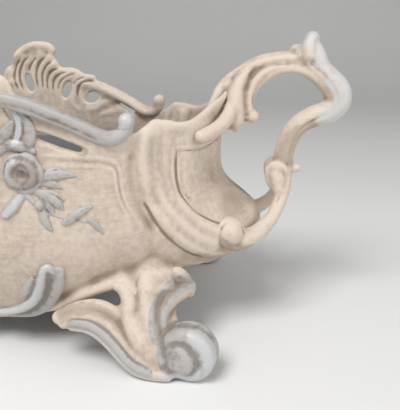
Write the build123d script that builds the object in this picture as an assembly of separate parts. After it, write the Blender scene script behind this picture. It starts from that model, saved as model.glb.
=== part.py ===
from build123d import *
import os
from math import cos, radians, sin, sqrt

# A footed table jardiniere of painted cast zinc alloy, with a lift-out sheet zinc liner.
# Millimetres. +X runs along the length, -Y is the front and +Z is up. The feet stand on Z = 0.
# Each long wall is a loft of wall sections square to X. Each end wall is a loft of wall
# sections that turn about an upright line at the seam between the two.

# Driving sizes of the casing
wall = 3.0                  # thickness of the castings
seam_reach = 113.0          # from the middle to the seam between a long wall and an end wall
hem_height = 53.0           # lower edge of the ends and of the corners
apron_height = 19.5         # lower edge of a long wall at its middle
rim_height = 183.0          # top of a long wall at its middle, under the crest
rim_low_height = 151.5      # lowest place of that top edge
corner_rim_height = 157.0   # top edge at the seam
pierced_top_height = 212.0  # how far up the long wall's shape is carried for the crest

# Long wall: distance out from the middle plane and height, from the top edge down to the hem,
# at four places along its half length
long_wall_places = [0.0, 50.0, 88.0, seam_reach]
long_wall_profiles = [
    [(84.0, pierced_top_height), (80.0, 170.0), (79.0, 143.0), (84.0, 112.0), (86.0, 84.0),
     (78.0, 50.0), (60.0, 14.0)],
    [(82.0, 205.0), (79.0, 168.0), (78.0, 143.0), (83.0, 112.0), (84.0, 84.0),
     (76.5, 54.0), (62.0, 24.0)],
    [(76.0, 185.0), (73.5, 158.0), (72.0, 138.0), (75.0, 112.0), (77.0, 84.0),
     (70.0, 62.0), (57.0, 44.0)],
    [(60.0, 172.0), (58.0, 157.0), (56.5, 140.0), (58.0, 110.0), (62.0, 84.0),
     (57.0, 64.0), (46.0, hem_height)],
]

# End wall: distance out from the upright line at the seam and height, from the rim to the hem,
# at five angles from the seam round to the end
end_wall_angles = [-90.0, -75.0, -60.0, -30.0, 0.0]
end_wall_profiles = [
    [(58.0, corner_rim_height), (56.5, 140.0), (58.0, 110.0), (62.0, 84.0), (57.0, 64.0),
     (46.0, hem_height)],
    [(57.0, 159.5), (55.0, 140.0), (56.0, 112.0), (60.0, 84.0), (56.0, 64.0),
     (44.0, hem_height)],
    [(57.0, 155.5), (54.0, 137.0), (54.0, 115.0), (60.0, 84.0), (58.0, 64.0),
     (44.0, hem_height)],
    [(48.0, 160.0), (45.0, 137.0), (47.0, 115.0), (67.0, 84.0), (63.0, 64.0),
     (45.0, hem_height)],
    [(46.0, 168.0), (44.5, 132.0), (49.0, 110.0), (75.0, 84.0), (70.0, 64.0),
     (46.0, hem_height)],
]

# Crest and rim
crest_height = 208.0
rim_scroll_start_radius = 3.2
rim_scroll_end_radius = 5.0
rim_volute_radius = 8.5
rim_volute_width = 9.0
slot_length = 30.0
slot_depth = 8.0

# Corner ribs, apron scrolls and roses
corner_rib_radius = 3.6
apron_scroll_radius = 5.0
apron_volute_radius = 8.0
rose_radius = 13.0
rose_height = 130.0
rose_place = 41.4

# Feet
foot_volute_radius = 20.0
foot_volute_width = 26.0
foot_volute_place = (141.0, -93.0)
foot_base_cut = 0.6
lug_thickness = 6.0
lug_width = 16.0

# Handles
handle_reach = 250.0
handle_tube_radius = 7.5
horn_height = 214.0
handle_root_height = 150.0
handle_foot_height = 77.0
strand_radius = 6.5

# Floor plate and liner
plate_thickness = 2.0
plate_corner = (108.0, 42.0)
plate_side_bow = 64.0
plate_end_reach = 142.0
liner_sheet = 1.0
liner_height = 73.0
liner_corner_top = (113.0, 47.5)
liner_side_top = 70.0
liner_end_top = 150.0
liner_corner_base = (104.0, 39.0)
liner_side_base = 60.0
liner_end_base = 138.0
liner_rim_width = 3.0
liner_rim_height = 4.0

# Bails, the two drop handles of the liner
bail_wire = 3.0
bail_clearance = 0.35
bail_width = 40.0
bail_drop = 27.0
bail_bend_radius = 6.0
bail_pivot_height = 118.0
bail_pivot_reach = 133.0
ear_thickness = 2.0
ear_radius = 5.0

# Fasteners
foot_screw_diameter = 5.0
foot_screw_head = 9.0
foot_nut_width = 8.0
foot_nut_height = 4.0
handle_screw_diameter = 4.0
handle_screw_head = 8.0
handle_screw_head_height = 3.0
handle_screw_grip = 9.0


def offset_points(points, gap):
    """Move the points of an open outline sideways by a gap."""
    moved = []
    for index, (across, height) in enumerate(points):
        before = points[max(index - 1, 0)]
        after = points[min(index + 1, len(points) - 1)]
        run = after[0] - before[0]
        rise = after[1] - before[1]
        length = sqrt(run * run + rise * rise)
        moved.append((across + gap * rise / length, height - gap * run / length))
    return moved


def wall_section(plane, outer):
    """Closed section of a wall whose outer side runs through the given points."""
    inner = offset_points(outer, wall)
    outside = Spline([Vector(*point) for point in outer])
    inside = Spline([Vector(*point) for point in inner])
    foot_line = Line(outside @ 1, inside @ 1)
    top_line = Line(inside @ 0, outside @ 0)
    return plane * make_face([outside, foot_line, inside, top_line])


def long_plane(place):
    """Section plane of the front wall at a place along its length."""
    return Plane(origin=(place, 0, 0), x_dir=(0, -1, 0), z_dir=(-1, 0, 0))


def end_plane(angle):
    """Section plane of the right end wall at an angle about the upright seam line."""
    out = Vector(cos(radians(angle)), sin(radians(angle)), 0)
    return Plane(origin=(seam_reach, 0, 0), x_dir=out, z_dir=out.cross(Vector(0, 0, 1)))


def make_long_shell():
    """Shape of the front wall, carried up past its top edge."""
    sections = []
    for place, profile in reversed(list(zip(long_wall_places, long_wall_profiles))[1:]):
        sections.append(wall_section(long_plane(-place), profile))
    for place, profile in zip(long_wall_places, long_wall_profiles):
        sections.append(wall_section(long_plane(place), profile))
    return loft(sections)


def make_end_shell():
    """Right end wall between the two seams."""
    sections = []
    for angle, profile in zip(end_wall_angles, end_wall_profiles):
        sections.append(wall_section(end_plane(angle), profile))
    for angle, profile in reversed(list(zip(end_wall_angles, end_wall_profiles))[:-1]):
        sections.append(wall_section(end_plane(-angle), profile))
    return loft(sections)


long_shell = make_long_shell()
end_shell = make_end_shell()


def front_surface(place, height):
    """Y of the front wall's outer face."""
    line = Axis((place, -2 * seam_reach, height), (0, 1, 0))
    return min(point.Y for point, normal in long_shell.find_intersection_points(line))


def end_radius(angle, height):
    """Distance of the end wall's outer face from the upright seam line."""
    out = Vector(cos(radians(angle)), sin(radians(angle)), 0)
    line = Axis(Vector(seam_reach, 0, height), out)
    hits = end_shell.find_intersection_points(line)
    return max((point - Vector(seam_reach, 0, height)).dot(out) for point, normal in hits)


def end_point(angle, height, out=0.0):
    """Point near the end wall's outer face, a distance out from it."""
    reach = end_radius(angle, height) + out
    return (seam_reach + reach * cos(radians(angle)), reach * sin(radians(angle)), height)


def front_point(place, height, out=0.0):
    """Point near the front wall's outer face, a distance out from it."""
    return (place, front_surface(place, height) - out, height)


def branch(points, radii, flat=1.0, facing=(0, -1, 0)):
    """Tapering tube or leaf through points, with rounded ends.

    flat is thickness over width, and the flat side looks along facing.
    """
    places = [Vector(*point) for point in points]
    sizes = list(radii)
    first_run = (places[0] - places[1]).normalized()
    last_run = (places[-1] - places[-2]).normalized()
    start, end = places[0], places[-1]
    start_size, end_size = sizes[0], sizes[-1]
    for along, share in ((0.45, 0.86), (0.8, 0.5)):
        places.insert(0, start + first_run * (along * start_size))
        sizes.insert(0, share * start_size)
        places.append(end + last_run * (along * end_size))
        sizes.append(share * end_size)
    sections = []
    for index, place in enumerate(places):
        before = places[max(index - 1, 0)]
        after = places[min(index + 1, len(places) - 1)]
        run = (after - before).normalized()
        side = run.cross(Vector(*facing)).normalized()
        plane = Plane(origin=place, x_dir=side, z_dir=run)
        if flat == 1.0:
            sections.append(plane * Circle(sizes[index]))
        else:
            sections.append(plane * Ellipse(sizes[index], sizes[index] * flat))
    return loft(sections)


def largest(shape):
    """The main solid of a cut piece, without slivers left inside a wall."""
    return max(shape.solids(), key=lambda solid: solid.volume)


def volute(centre, axis, radius, width):
    """Round scroll end: a drum with soft edges and a raised eye on both faces."""
    plane = Plane(origin=centre, z_dir=axis)
    drum = Cylinder(radius, width)
    soft = 0.38 * min(width, radius)
    drum = fillet(drum.edges().filter_by(GeomType.CIRCLE), soft)
    eye = Cylinder(0.42 * radius, width + 0.3 * radius)
    return plane * (drum + eye)


def long_outline(edge_points, lower_points):
    """Outline in the XZ plane between an upper and a lower smooth line, as a block in front."""
    upper = Spline([Vector(x, z) for x, z in edge_points])
    lower = Spline([Vector(x, z) for x, z in lower_points])
    right = Line(upper @ 1, lower @ 0)
    left = Line(lower @ 1, upper @ 0)
    face = Plane.XZ * make_face([upper, right, lower, left])
    return extrude(face, amount=2 * seam_reach, dir=(0, -1, 0))


# Top edge of a long wall, from the middle to the seam
rim_points = [
    (0.0, rim_height),
    (18.0, 180.0),
    (33.0, 174.6),
    (50.0, 168.3),
    (66.0, 161.0),
    (80.0, 154.7),
    (94.0, rim_low_height),
    (104.0, 153.0),
    (seam_reach, corner_rim_height),
]

# Lower edge of a long wall, from the seam to the middle
apron_points = [
    (seam_reach, hem_height),
    (100.0, hem_height - 0.5),
    (72.0, 44.0),
    (47.0, 30.5),
    (22.0, 22.5),
    (0.0, apron_height),
]

# The crest's main leaf in the front wall's own view, from its right foot over the top
crest_leaf_points = [
    (24.5, 189.0),
    (25.5, 197.0),
    (20.0, crest_height - 3.0),
    (9.0, crest_height),
    (-3.0, crest_height - 0.5),
    (-9.5, crest_height - 5.0),
    (-9.0, crest_height - 10.0),
    (-5.5, crest_height - 13.5),
]

# The lobes beside the leaf, as arcs through three places each
crest_right_lobe = [(40.0, 176.0), (36.0, 187.0), (24.5, 189.0)]
crest_left_lobes = [
    [(-5.5, crest_height - 13.5), (-11.5, 190.5), (-11.0, 184.5)],
    [(-11.0, 184.5), (-21.0, 187.5), (-33.0, 182.0)],
    [(-33.0, 182.0), (-39.0, 180.5), (-44.0, 175.0)],
]


def mirrored(points):
    """Points of a half outline with their mirror images, from left to right or back."""
    return [(-x, z) for x, z in reversed(points[1:])] + points if points[0][0] == 0.0 else (
        points + [(-x, z) for x, z in reversed(points[:-1])])


def pierced_hole(centre, length, depth, tilt):
    """Oval hole through the front wall, tilted in its plane."""
    face = Plane(origin=(centre[0], 0, centre[1]), x_dir=(1, 0, 0), z_dir=(0, -1, 0))
    oval = face * (Rot(0, 0, tilt) * Ellipse(length / 2, depth / 2))
    return extrude(oval, amount=2 * seam_reach, dir=(0, -1, 0))


def make_front_panel():
    """Front wall with its rim line, apron line and pierced work."""
    panel = long_shell & long_outline(mirrored(rim_points), mirrored(apron_points))
    for side in (-1, 1):
        panel -= pierced_hole((side * 17.0, 167.0), 13.0, 5.0, -side * 62.0)
        panel -= pierced_hole((side * 37.0, 161.0), 14.0, 6.0, -side * 30.0)
    panel -= pierced_hole((62.5, 147.6), slot_length, slot_depth, -17.0)
    panel -= pierced_hole((-67.0, 152.0), slot_length - 6.0, slot_depth, 20.0)
    return panel


def make_front_crest():
    """Leafy crest above the middle of the front wall."""
    first = crest_right_lobe[0]
    last = crest_left_lobes[-1][-1]
    low_left = (last[0], rim_low_height)
    low_right = (first[0], rim_low_height)
    edges = [ThreePointArc(*crest_right_lobe), Spline(*crest_leaf_points)]
    edges += [ThreePointArc(*lobe) for lobe in crest_left_lobes]
    edges += [Line(last, low_left), Line(low_left, low_right), Line(low_right, first)]
    block = extrude(Plane.XZ * make_face(edges), amount=2 * seam_reach, dir=(0, -1, 0))
    below = long_outline(mirrored(rim_points), mirrored(apron_points))
    return (long_shell & block) - below


def make_rim_scroll(panel, crest):
    """Scroll that runs along the top edge of the front wall to a curl near its right corner."""
    points = []
    radii = []
    run = rim_points[1:-1]
    for index, (place, height) in enumerate(run):
        share = index / (len(run) - 1)
        points.append(front_point(place, height - 1.0, -0.5 * wall))
        radii.append(rim_scroll_start_radius
                     + share * (rim_scroll_end_radius - rim_scroll_start_radius))
    points[0] = (1.5 + rim_scroll_start_radius, points[0][1], points[0][2] + 2.0)
    stem = branch(points, radii)
    eye = front_point(101.0, 148.0, -0.5 * wall)
    curl = volute((eye[0], eye[1], rim_low_height + 7.0), (0, 1, 0), rim_volute_radius,
                  rim_volute_width)
    return largest((stem + curl) - panel - crest - crest.mirror(Plane.YZ))


def make_corner_rib(panel, end_panel):
    """Raised rib that covers the seam and sweeps on round the belly of the end."""
    sink = 0.25 * corner_rib_radius
    path = [
        end_point(-84.0, 156.0, sink),
        front_point(110.6, 147.0, sink),
        front_point(108.7, 134.0, sink),
        front_point(109.6, 121.0, sink),
        end_point(-86.0, 106.0, sink),
        end_point(-79.0, 92.0, sink),
        end_point(-70.0, 81.0, sink),
        end_point(-58.0, 72.0, sink),
        end_point(-45.0, 66.0, sink),
    ]
    radii = [corner_rib_radius] * 7 + [0.9 * corner_rib_radius, 0.75 * corner_rib_radius]
    return largest(branch(path, radii, facing=(0.6, -0.8, 0)) - panel - end_panel)


def make_apron_scroll(panel):
    """C scroll low on the front wall, to the right of the middle."""
    out = 0.3 * apron_scroll_radius
    places = [(6.0, 28.5), (13.0, 31.0), (23.0, 35.5), (32.0, 41.0), (40.5, 47.5),
              (47.5, 55.0), (52.5, 64.0)]
    points = [front_point(x, z, out) for x, z in places]
    radii = [apron_scroll_radius] * 2 + [apron_scroll_radius + 0.8] * 4 + [apron_scroll_radius]
    stem = branch(points, radii)
    curl = volute(front_point(47.0, 67.0, 0.0), (0, 1, 0), apron_volute_radius, 10.0)
    return largest((stem + curl) - panel)


def make_leaf_spray(panel):
    """Stem with leaves and a bud on the front wall, running behind the rose."""
    stem_places = [(44.0, 162.0), (39.5, 152.0), (37.5, 140.0), (38.5, 124.0), (44.0, 112.0),
                   (54.0, 104.0), (66.0, 99.5), (80.0, 97.5)]
    stem = branch([front_point(x, z, 1.7) for x, z in stem_places],
                  [4.0, 4.0, 3.0, 2.6, 2.5, 2.4, 2.4, 2.4])
    spray = stem
    leaf_lines = [
        [(44.0, 124.0), (56.0, 128.5), (64.0, 129.0), (71.0, 128.4)],
        [(46.0, 112.0), (54.0, 115.0), (60.0, 112.5), (64.0, 108.8)],
        [(46.0, 110.0), (51.5, 104.5), (54.5, 99.5), (56.3, 95.6)],
    ]
    for line in leaf_lines:
        spray += branch([front_point(x, z, 1.7) for x, z in line], [2.4, 4.8, 4.6, 2.0],
                        flat=0.6)
    bud = front_point(83.0, 98.5, 1.5)
    spray += Pos(*bud) * Sphere(5.5)
    return largest(spray - panel)


def make_rose(panel, spray):
    """Open rose: a ring of round petals about a bud."""
    centre = Vector(*front_point(rose_place, rose_height, 1.0))
    rose = Pos(*centre) * Sphere(0.62 * rose_radius)
    petals = 6
    for index in range(petals):
        turn = radians(360.0 * index / petals)
        place = centre + Vector(cos(turn), 0, sin(turn)) * (0.56 * rose_radius)
        rose += Pos(*place) * Sphere(0.44 * rose_radius)
    return largest(rose - panel - spray)


def make_foot(panel, end_panel):
    """Front right scroll foot with its leg, arm, leaf and fixing lug."""
    base = Vector(foot_volute_place[0], foot_volute_place[1],
                  foot_volute_radius - foot_base_cut)
    foot = volute(base, (-0.25, -0.97, 0), foot_volute_radius, foot_volute_width)
    arm = [(57.0, -80.0, 34.0), (64.0, -82.0, 36.5), (76.0, -84.0, 36.0), (88.0, -87.0, 30.0),
           (98.0, -90.5, 21.0), (109.0, -93.0, 12.5), (121.0, -94.0, 8.4), (134.0, -94.0, 8.4)]
    foot += branch(arm, [6.0, 7.0, 8.0, 8.0, 7.6, 7.4, 8.0, 8.0], facing=(0, 1, 0))
    leg = [(107.0, -62.0, 56.0), (109.0, -72.0, 46.0), (112.5, -82.0, 33.0),
           (120.0, -90.0, 20.0), (132.0, -93.0, 13.0)]
    foot += branch(leg, [10.5, 10.0, 9.5, 9.5, 9.5], facing=(1, 0, 0))
    leaf = [(126.0, -87.0, 25.0), (123.0, -79.0, 33.5), (127.0, -68.0, 40.5),
            (134.0, -59.0, 44.0), (139.0, -53.5, 45.0)]
    foot += branch(leaf, [5.0, 5.0, 5.5, 6.5, 6.0], facing=(0, 0, 1))
    foot += make_lug_bar()
    ground = Pos(0, 0, -foot_volute_radius) * Box(
        4 * seam_reach, 4 * seam_reach, 2 * foot_volute_radius)
    foot = foot - ground - panel - end_panel
    return largest(foot - make_foot_screw(foot_screw_diameter))


def lug_direction():
    """Flat direction from the foot towards the inside of the casing."""
    return Vector(-0.62, 0.785, 0).normalized()


def lug_centre():
    """Place of the foot screw in the lug."""
    return Vector(plate_corner[0] - 6.0, -(plate_corner[1] - 6.0), 0)


def make_lug_bar():
    """Flat bar that carries the floor plate and the lower edges of the walls."""
    inward = lug_direction()
    outer_end = lug_centre() - inward * 34.0
    inner_end = lug_centre()
    middle = (outer_end + inner_end) * 0.5
    length = (outer_end - inner_end).length
    plane = Plane(origin=(middle.X, middle.Y, hem_height - lug_thickness / 2),
                  x_dir=inward, z_dir=(0, 0, 1))
    bar = plane * Box(length, lug_width, lug_thickness)
    end = Pos(inner_end.X, inner_end.Y, hem_height - lug_thickness / 2) * Cylinder(
        lug_width / 2, lug_thickness)
    return bar + end


def make_foot_screw(shank):
    """Flat head screw down through the floor plate and the lug."""
    centre = lug_centre()
    top = hem_height + plate_thickness
    length = plate_thickness + lug_thickness + foot_nut_height
    stem = Pos(centre.X, centre.Y, top - length / 2) * Cylinder(shank / 2, length)
    head = Pos(centre.X, centre.Y, top - plate_thickness / 2) * Cone(
        shank / 2, foot_screw_head / 2, plate_thickness)
    return stem + head


def make_foot_nut():
    """Hexagon nut under the lug."""
    centre = lug_centre()
    face = Plane(origin=(centre.X, centre.Y, hem_height - lug_thickness - foot_nut_height))
    nut = extrude(face * RegularPolygon(foot_nut_width / 2, 6, major_radius=False),
                  amount=foot_nut_height)
    return nut - make_foot_screw(foot_screw_diameter)


def bowed_outline(corner, side, end):
    """Wire of a plan with four corners, two bowed sides and two round ends."""
    x, y = corner
    return Wire([
        ThreePointArc((-x, -y), (0, -side), (x, -y)),
        ThreePointArc((x, -y), (end, 0), (x, y)),
        ThreePointArc((x, y), (0, side), (-x, y)),
        ThreePointArc((-x, y), (-end, 0), (-x, -y)),
    ])


def make_floor_plate():
    """Sheet that the liner stands on, screwed to the lugs of the four feet."""
    outline = Pos(0, 0, hem_height) * bowed_outline(plate_corner, plate_side_bow,
                                                    plate_end_reach)
    return extrude(make_face(outline.edges()), amount=plate_thickness)


def liner_block(inset, low, high):
    """Tapering block of the liner's plan, drawn in by an inset."""
    def outline(share, height):
        corner = [base + share * (top - base) - inset
                  for base, top in zip(liner_corner_base, liner_corner_top)]
        side = liner_side_base + share * (liner_side_top - liner_side_base) - inset
        end = liner_end_base + share * (liner_end_top - liner_end_base) - inset
        return Pos(0, 0, height) * bowed_outline(corner, side, end)
    base = hem_height + plate_thickness
    lower = make_face(outline(low / liner_height, base + low).edges())
    upper = make_face(outline(high / liner_height, base + high).edges())
    return loft([lower, upper], ruled=True)


def liner_end_face(height):
    """X of the liner's inner face at the middle of its right end."""
    share = (height - hem_height - plate_thickness) / liner_height
    return liner_end_base + share * (liner_end_top - liner_end_base) - liner_sheet


def make_ear(side, end_sign):
    """Small lug on the inner end face of the liner, with the bail's pivot hole."""
    place = side * (bail_width / 2 - ear_thickness / 2)
    reach = liner_end_face(bail_pivot_height) - bail_pivot_reach
    plane = Plane(origin=(bail_pivot_reach, place, bail_pivot_height), z_dir=(0, 1, 0))
    ear = plane * Cylinder(ear_radius, ear_thickness)
    ear += Pos(bail_pivot_reach + reach / 2, place, bail_pivot_height) * Box(
        reach, ear_thickness, 2 * ear_radius)
    ear -= plane * Cylinder(bail_wire / 2 + bail_clearance, 2 * ear_thickness)
    return ear if end_sign > 0 else ear.mirror(Plane.YZ)


def make_liner():
    """Open sheet zinc tray with a rolled rim and two pairs of bail ears."""
    tray = liner_block(0.0, 0.0, liner_height)
    rim = liner_block(-liner_rim_width / 2, liner_height - liner_rim_height, liner_height)
    ears = [make_ear(side, end) for side in (-1, 1) for end in (-1, 1)]
    liner = (tray + rim) - liner_block(liner_sheet, liner_sheet, liner_height)
    for ear in ears:
        liner += ear & tray
    return liner


def make_bail():
    """Wire drop handle hanging in the right-hand ears of the liner."""
    half = bail_width / 2 - ear_thickness - bail_clearance - bail_wire / 2
    top = bail_pivot_height
    low = top - bail_drop
    x = bail_pivot_reach
    tip = bail_width / 2 + 1.5
    path = FilletPolyline((x, -tip, top), (x, -half, top), (x, -half, low), (x, half, low),
                          (x, half, top), (x, tip, top),
                          radius=[bail_wire / 2 + 0.05, bail_bend_radius, bail_bend_radius,
                                  bail_wire / 2 + 0.05])
    start = Plane(origin=path @ 0, z_dir=path % 0)
    return sweep(start * Circle(bail_wire / 2), path=path)


def make_handle(end_panel):
    """Right handle: arch, horn, S stroke, two root strands and two lower strands."""
    reach = handle_reach - 10.0
    tube = handle_tube_radius
    arch_low = handle_root_height
    centre_line = [
        (165.0, 0.0, arch_low + 26.0),
        (171.0, 0.0, arch_low + 33.5),
        (180.0, 0.0, arch_low + 38.5),
        (191.0, 0.0, arch_low + 42.5),
        (204.0, 0.0, arch_low + 43.5),
        (218.0, 0.0, arch_low + 40.5),
        (reach - 8.5, 0.0, arch_low + 31.5),
        (reach, 0.0, arch_low + 18.0),
        (reach - 6.0, 0.0, arch_low + 9.0),
        (222.0, 0.0, arch_low + 5.0),
        (211.5, 0.0, arch_low - 2.5),
        (206.0, 0.0, arch_low - 13.0),
        (203.5, 0.0, arch_low - 24.0),
        (203.0, 0.0, arch_low - 33.0),
    ]
    radii = [tube - 1.0, tube, tube, tube, tube, tube + 1.0, tube + 2.0, tube + 2.5, tube + 1.5,
             tube + 0.5, tube, tube, tube, tube - 1.0]
    handle = branch(centre_line, radii, facing=(0, 1, 0))
    horn = [(225.0, 0.0, horn_height - 25.0), (221.5, 0.0, horn_height - 16.0),
            (218.5, 0.0, horn_height - 8.5), (218.5, 0.0, horn_height - 3.6)]
    handle += branch(horn, [8.0, 7.4, 6.0, 4.4], facing=(0, 1, 0))
    handle += Pos(206.5, 6.0, horn_height - 15.5) * Sphere(4.8)
    low = handle_foot_height
    for side in (-1, 1):
        root = [end_point(-59.0, arch_low, 3.5), end_point(-51.0, arch_low + 4.0, 4.5),
                (157.5, -39.5, arch_low + 8.0), (163.0, -30.0, arch_low + 14.5),
                (166.0, -21.0, arch_low + 22.0), (171.0, -12.0, arch_low + 30.0),
                (178.5, -4.5, arch_low + 36.5)]
        strand = [(203.0, -3.0, low + 44.0), (202.5, -6.5, low + 35.0),
                  (202.0, -12.0, low + 23.0), (198.5, -19.0, low + 12.5),
                  (193.3, -24.5, low + 5.5), (187.3, -28.0, low),
                  (179.7, -31.5, low - 4.5), end_point(-32.5, low - 4.0, 4.0)]
        lobe = [(172.5, -13.0, arch_low + 20.0), (170.0, -12.0, arch_low + 8.0),
                (169.0, -10.5, arch_low + 2.0)]
        collar = [(199.0, -6.0, low + 34.0), (194.5, -7.0, low + 41.0)]
        for points, sizes in (
                (root, [6.3, 6.3, 6.3, 6.5, 6.5, 6.5, 6.0]),
                (strand, [6.8, 6.8, 6.5, strand_radius, strand_radius, strand_radius, 6.8, 7.0]),
                (lobe, [6.0, 6.3, 5.2]),
                (collar, [3.6, 3.4])):
            turned = [(x, -side * y, z) for x, y, z in points]
            handle += branch(turned, sizes, facing=(1, 0, 0) if points is collar else (0, 0.2, 1))
        eye = end_point(side * 35.5, low + 2.5, 2.0)
        out = Vector(eye[0] - seam_reach, eye[1], 0).normalized()
        handle += volute(eye, tuple(out), 10.0, 11.0)
    handle += branch([(182.0, 0.0, arch_low + 24.0), (180.0, 0.0, arch_low + 13.0),
                      (180.0, 0.0, arch_low + 6.0)], [5.2, 5.2, 4.4], facing=(0, 1, 0))
    handle += branch([(206.0, 0.0, low + 42.0), (213.0, 0.0, low + 42.5)], [4.0, 2.8],
                     facing=(0, 1, 0))
    return largest(handle - end_panel)


def handle_screw_frames():
    """Centre on the end wall's outer face and outward direction of each handle screw."""
    frames = []
    for side in (-1, 1):
        centre = Vector(*end_point(side * 35.5, handle_foot_height + 2.5))
        out = Vector(centre.X - seam_reach, centre.Y, 0).normalized()
        frames.append((centre, out))
    return frames


def make_handle_screws(end_panel):
    """Pan head screws from inside the end wall into the two lower volutes."""
    screws = []
    for centre, out in handle_screw_frames():
        start = -wall - 2.5
        plane = Plane(origin=tuple(centre + out * start), z_dir=tuple(out))
        stem = plane * Pos(0, 0, (handle_screw_grip - start) / 2) * Cylinder(
            handle_screw_diameter / 2, handle_screw_grip - start)
        head = plane * Pos(0, 0, -handle_screw_head_height / 2) * Cylinder(
            handle_screw_head / 2, handle_screw_head_height)
        screws.append(stem + head)
    return screws


def turned_about_z(shape):
    """The same piece on the other side, turned half a turn."""
    return Rot(0, 0, 180) * shape


def mirror_sides(shape):
    """Front right, front left, rear right and rear left copies of a front right piece."""
    left = shape.mirror(Plane.YZ)
    rear = shape.mirror(Plane.XZ)
    rear_left = left.mirror(Plane.XZ)
    return {"front_right": shape, "front_left": left, "rear_right": rear,
            "rear_left": rear_left}


def write_parts():
    """Make every piece and write one file for each node."""
    panel = make_front_panel()
    crest = make_front_crest()
    end_panel = end_shell
    screws = make_handle_screws(end_panel)
    for screw in screws:
        end_panel = end_panel - screw
    handle = make_handle(end_panel)
    for screw in screws:
        handle = handle - screw
    scroll = make_rim_scroll(panel, crest)
    rib = make_corner_rib(panel, end_panel)
    spray = make_leaf_spray(panel)
    rose = make_rose(panel, spray)
    foot = make_foot(panel, end_panel)
    pieces = {
        "front_panel": panel,
        "rear_panel": turned_about_z(panel),
        "right_end_panel": end_panel,
        "left_end_panel": turned_about_z(end_panel),
        "front_crest": crest,
        "rear_crest": turned_about_z(crest),
        "right_handle": handle,
        "left_handle": turned_about_z(handle),
        "floor_plate": make_floor_plate(),
        "liner": make_liner(),
        "right_bail": make_bail(),
        "left_bail": make_bail().mirror(Plane.YZ),
    }
    for name, shape in (("rim_scroll", scroll), ("corner_rib", rib), ("rose", rose),
                        ("leaf_spray", spray), ("apron_scroll", make_apron_scroll(panel)),
                        ("foot", foot)):
        for side, copy in mirror_sides(shape).items():
            pieces[side + "_" + name] = copy
    foot_screws = list(mirror_sides(make_foot_screw(foot_screw_diameter)).values())
    pieces["floor_plate"] = pieces["floor_plate"] - foot_screws
    pieces["foot_screws"] = Compound(foot_screws)
    pieces["foot_nuts"] = Compound(list(mirror_sides(make_foot_nut()).values()))
    pieces["right_handle_screws"] = Compound(screws)
    pieces["left_handle_screws"] = Compound([turned_about_z(screw) for screw in screws])
    os.makedirs("parts", exist_ok=True)
    for name, shape in pieces.items():
        export_step(shape, "parts/" + name + ".step")


write_parts()
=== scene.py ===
import math

import bpy
import numpy as np
from bpy.props import FloatProperty, FloatVectorProperty, PointerProperty
from mathutils import Matrix, Vector
from mathutils.bvhtree import BVHTree


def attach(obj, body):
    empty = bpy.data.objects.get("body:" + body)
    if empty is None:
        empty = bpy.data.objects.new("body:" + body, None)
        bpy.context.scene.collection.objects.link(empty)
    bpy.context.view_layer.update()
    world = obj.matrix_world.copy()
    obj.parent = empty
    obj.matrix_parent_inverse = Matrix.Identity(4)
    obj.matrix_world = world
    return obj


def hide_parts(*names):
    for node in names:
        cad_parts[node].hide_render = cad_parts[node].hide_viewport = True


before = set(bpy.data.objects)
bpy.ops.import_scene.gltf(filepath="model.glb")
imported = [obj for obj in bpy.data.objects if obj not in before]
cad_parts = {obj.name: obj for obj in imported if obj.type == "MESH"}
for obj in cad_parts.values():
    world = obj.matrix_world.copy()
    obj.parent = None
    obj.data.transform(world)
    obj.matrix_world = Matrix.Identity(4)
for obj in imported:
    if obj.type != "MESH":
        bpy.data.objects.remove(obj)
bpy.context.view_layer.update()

bl_info = {
    "name": "Painted jardiniere",
    "version": (1, 0, 0),
    "blender": (4, 5, 0),
    "location": "3D View > Sidebar > Jardiniere",
    "description": "Dresses a cast and painted table jardiniere with scroll feet and loop handles",
    "category": "Add Mesh",
}

MM = 0.001


# Sizes and colours that a user would change


def length_setting(label, text, default):
    return FloatProperty(name=label, description=text, default=default, unit="LENGTH")


def colour_setting(label, text, default):
    return FloatVectorProperty(name=label, description=text, default=default, subtype="COLOR")


class CarvingSizes(bpy.types.PropertyGroup):
    voxel: length_setting(
        "Sculpt grain", "Edge length of the sculpted surface of the ornaments", 0.00085)
    wall_voxel: length_setting(
        "Wall grain", "Edge length of the sculpted surface of the walls", 0.00105)
    hand_waves: length_setting(
        "Hand-cast waves", "Height of the slow unevenness of the castings", 0.00016)


class PaintColours(bpy.types.PropertyGroup):
    cream: colour_setting(
        "Cream paint", "Colour of the matt paint on the body", (0.455, 0.365, 0.295))
    cream_light: colour_setting(
        "Chalky cream", "Colour of the dry brushed top strokes", (0.665, 0.565, 0.475))
    # The brown glaze colour paints both real glaze and painted shade in hollows, folds and under
    # bulges.
    glaze_and_shade: colour_setting(
        "Brown glaze", "Colour of the glaze that stays in the hollows", (0.20, 0.135, 0.085))
    grey: colour_setting(
        "Grey paint", "Colour of the silvery blue-grey accents", (0.235, 0.215, 0.20))
    grey_light: colour_setting(
        "Worn grey", "Colour of the high places of the grey accents", (0.44, 0.425, 0.415))
    # The pearl colour paints both pale paint and painted highlights on lit tops and edges.
    pearl_and_highlight: colour_setting(
        "Pearl paint", "Colour of the pale paint on handles and foot scrolls",
        (0.585, 0.595, 0.605))
    moss: colour_setting(
        "Moss", "Colour of the green specks in an incised line", (0.23, 0.22, 0.045))
    zinc: colour_setting("Zinc", "Colour of the liner's sheet", (0.40, 0.42, 0.44))


def carving():
    return bpy.context.scene.jardiniere_carving


def paints():
    return bpy.context.scene.jardiniere_paints


# Modelling tools


def only(*objects):
    """Select nothing but these objects, with the first one active."""
    bpy.ops.object.select_all(action="DESELECT")
    for piece in objects:
        piece.select_set(True)
    bpy.context.view_layer.objects.active = objects[0]


def apply_modifier(piece, kind, **settings):
    """Add a modifier, set it and apply it."""
    only(piece)
    modifier = piece.modifiers.new(kind.title(), kind)
    for key, value in settings.items():
        setattr(modifier, key, value)
    bpy.ops.object.modifier_apply(modifier=modifier.name)


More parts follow.
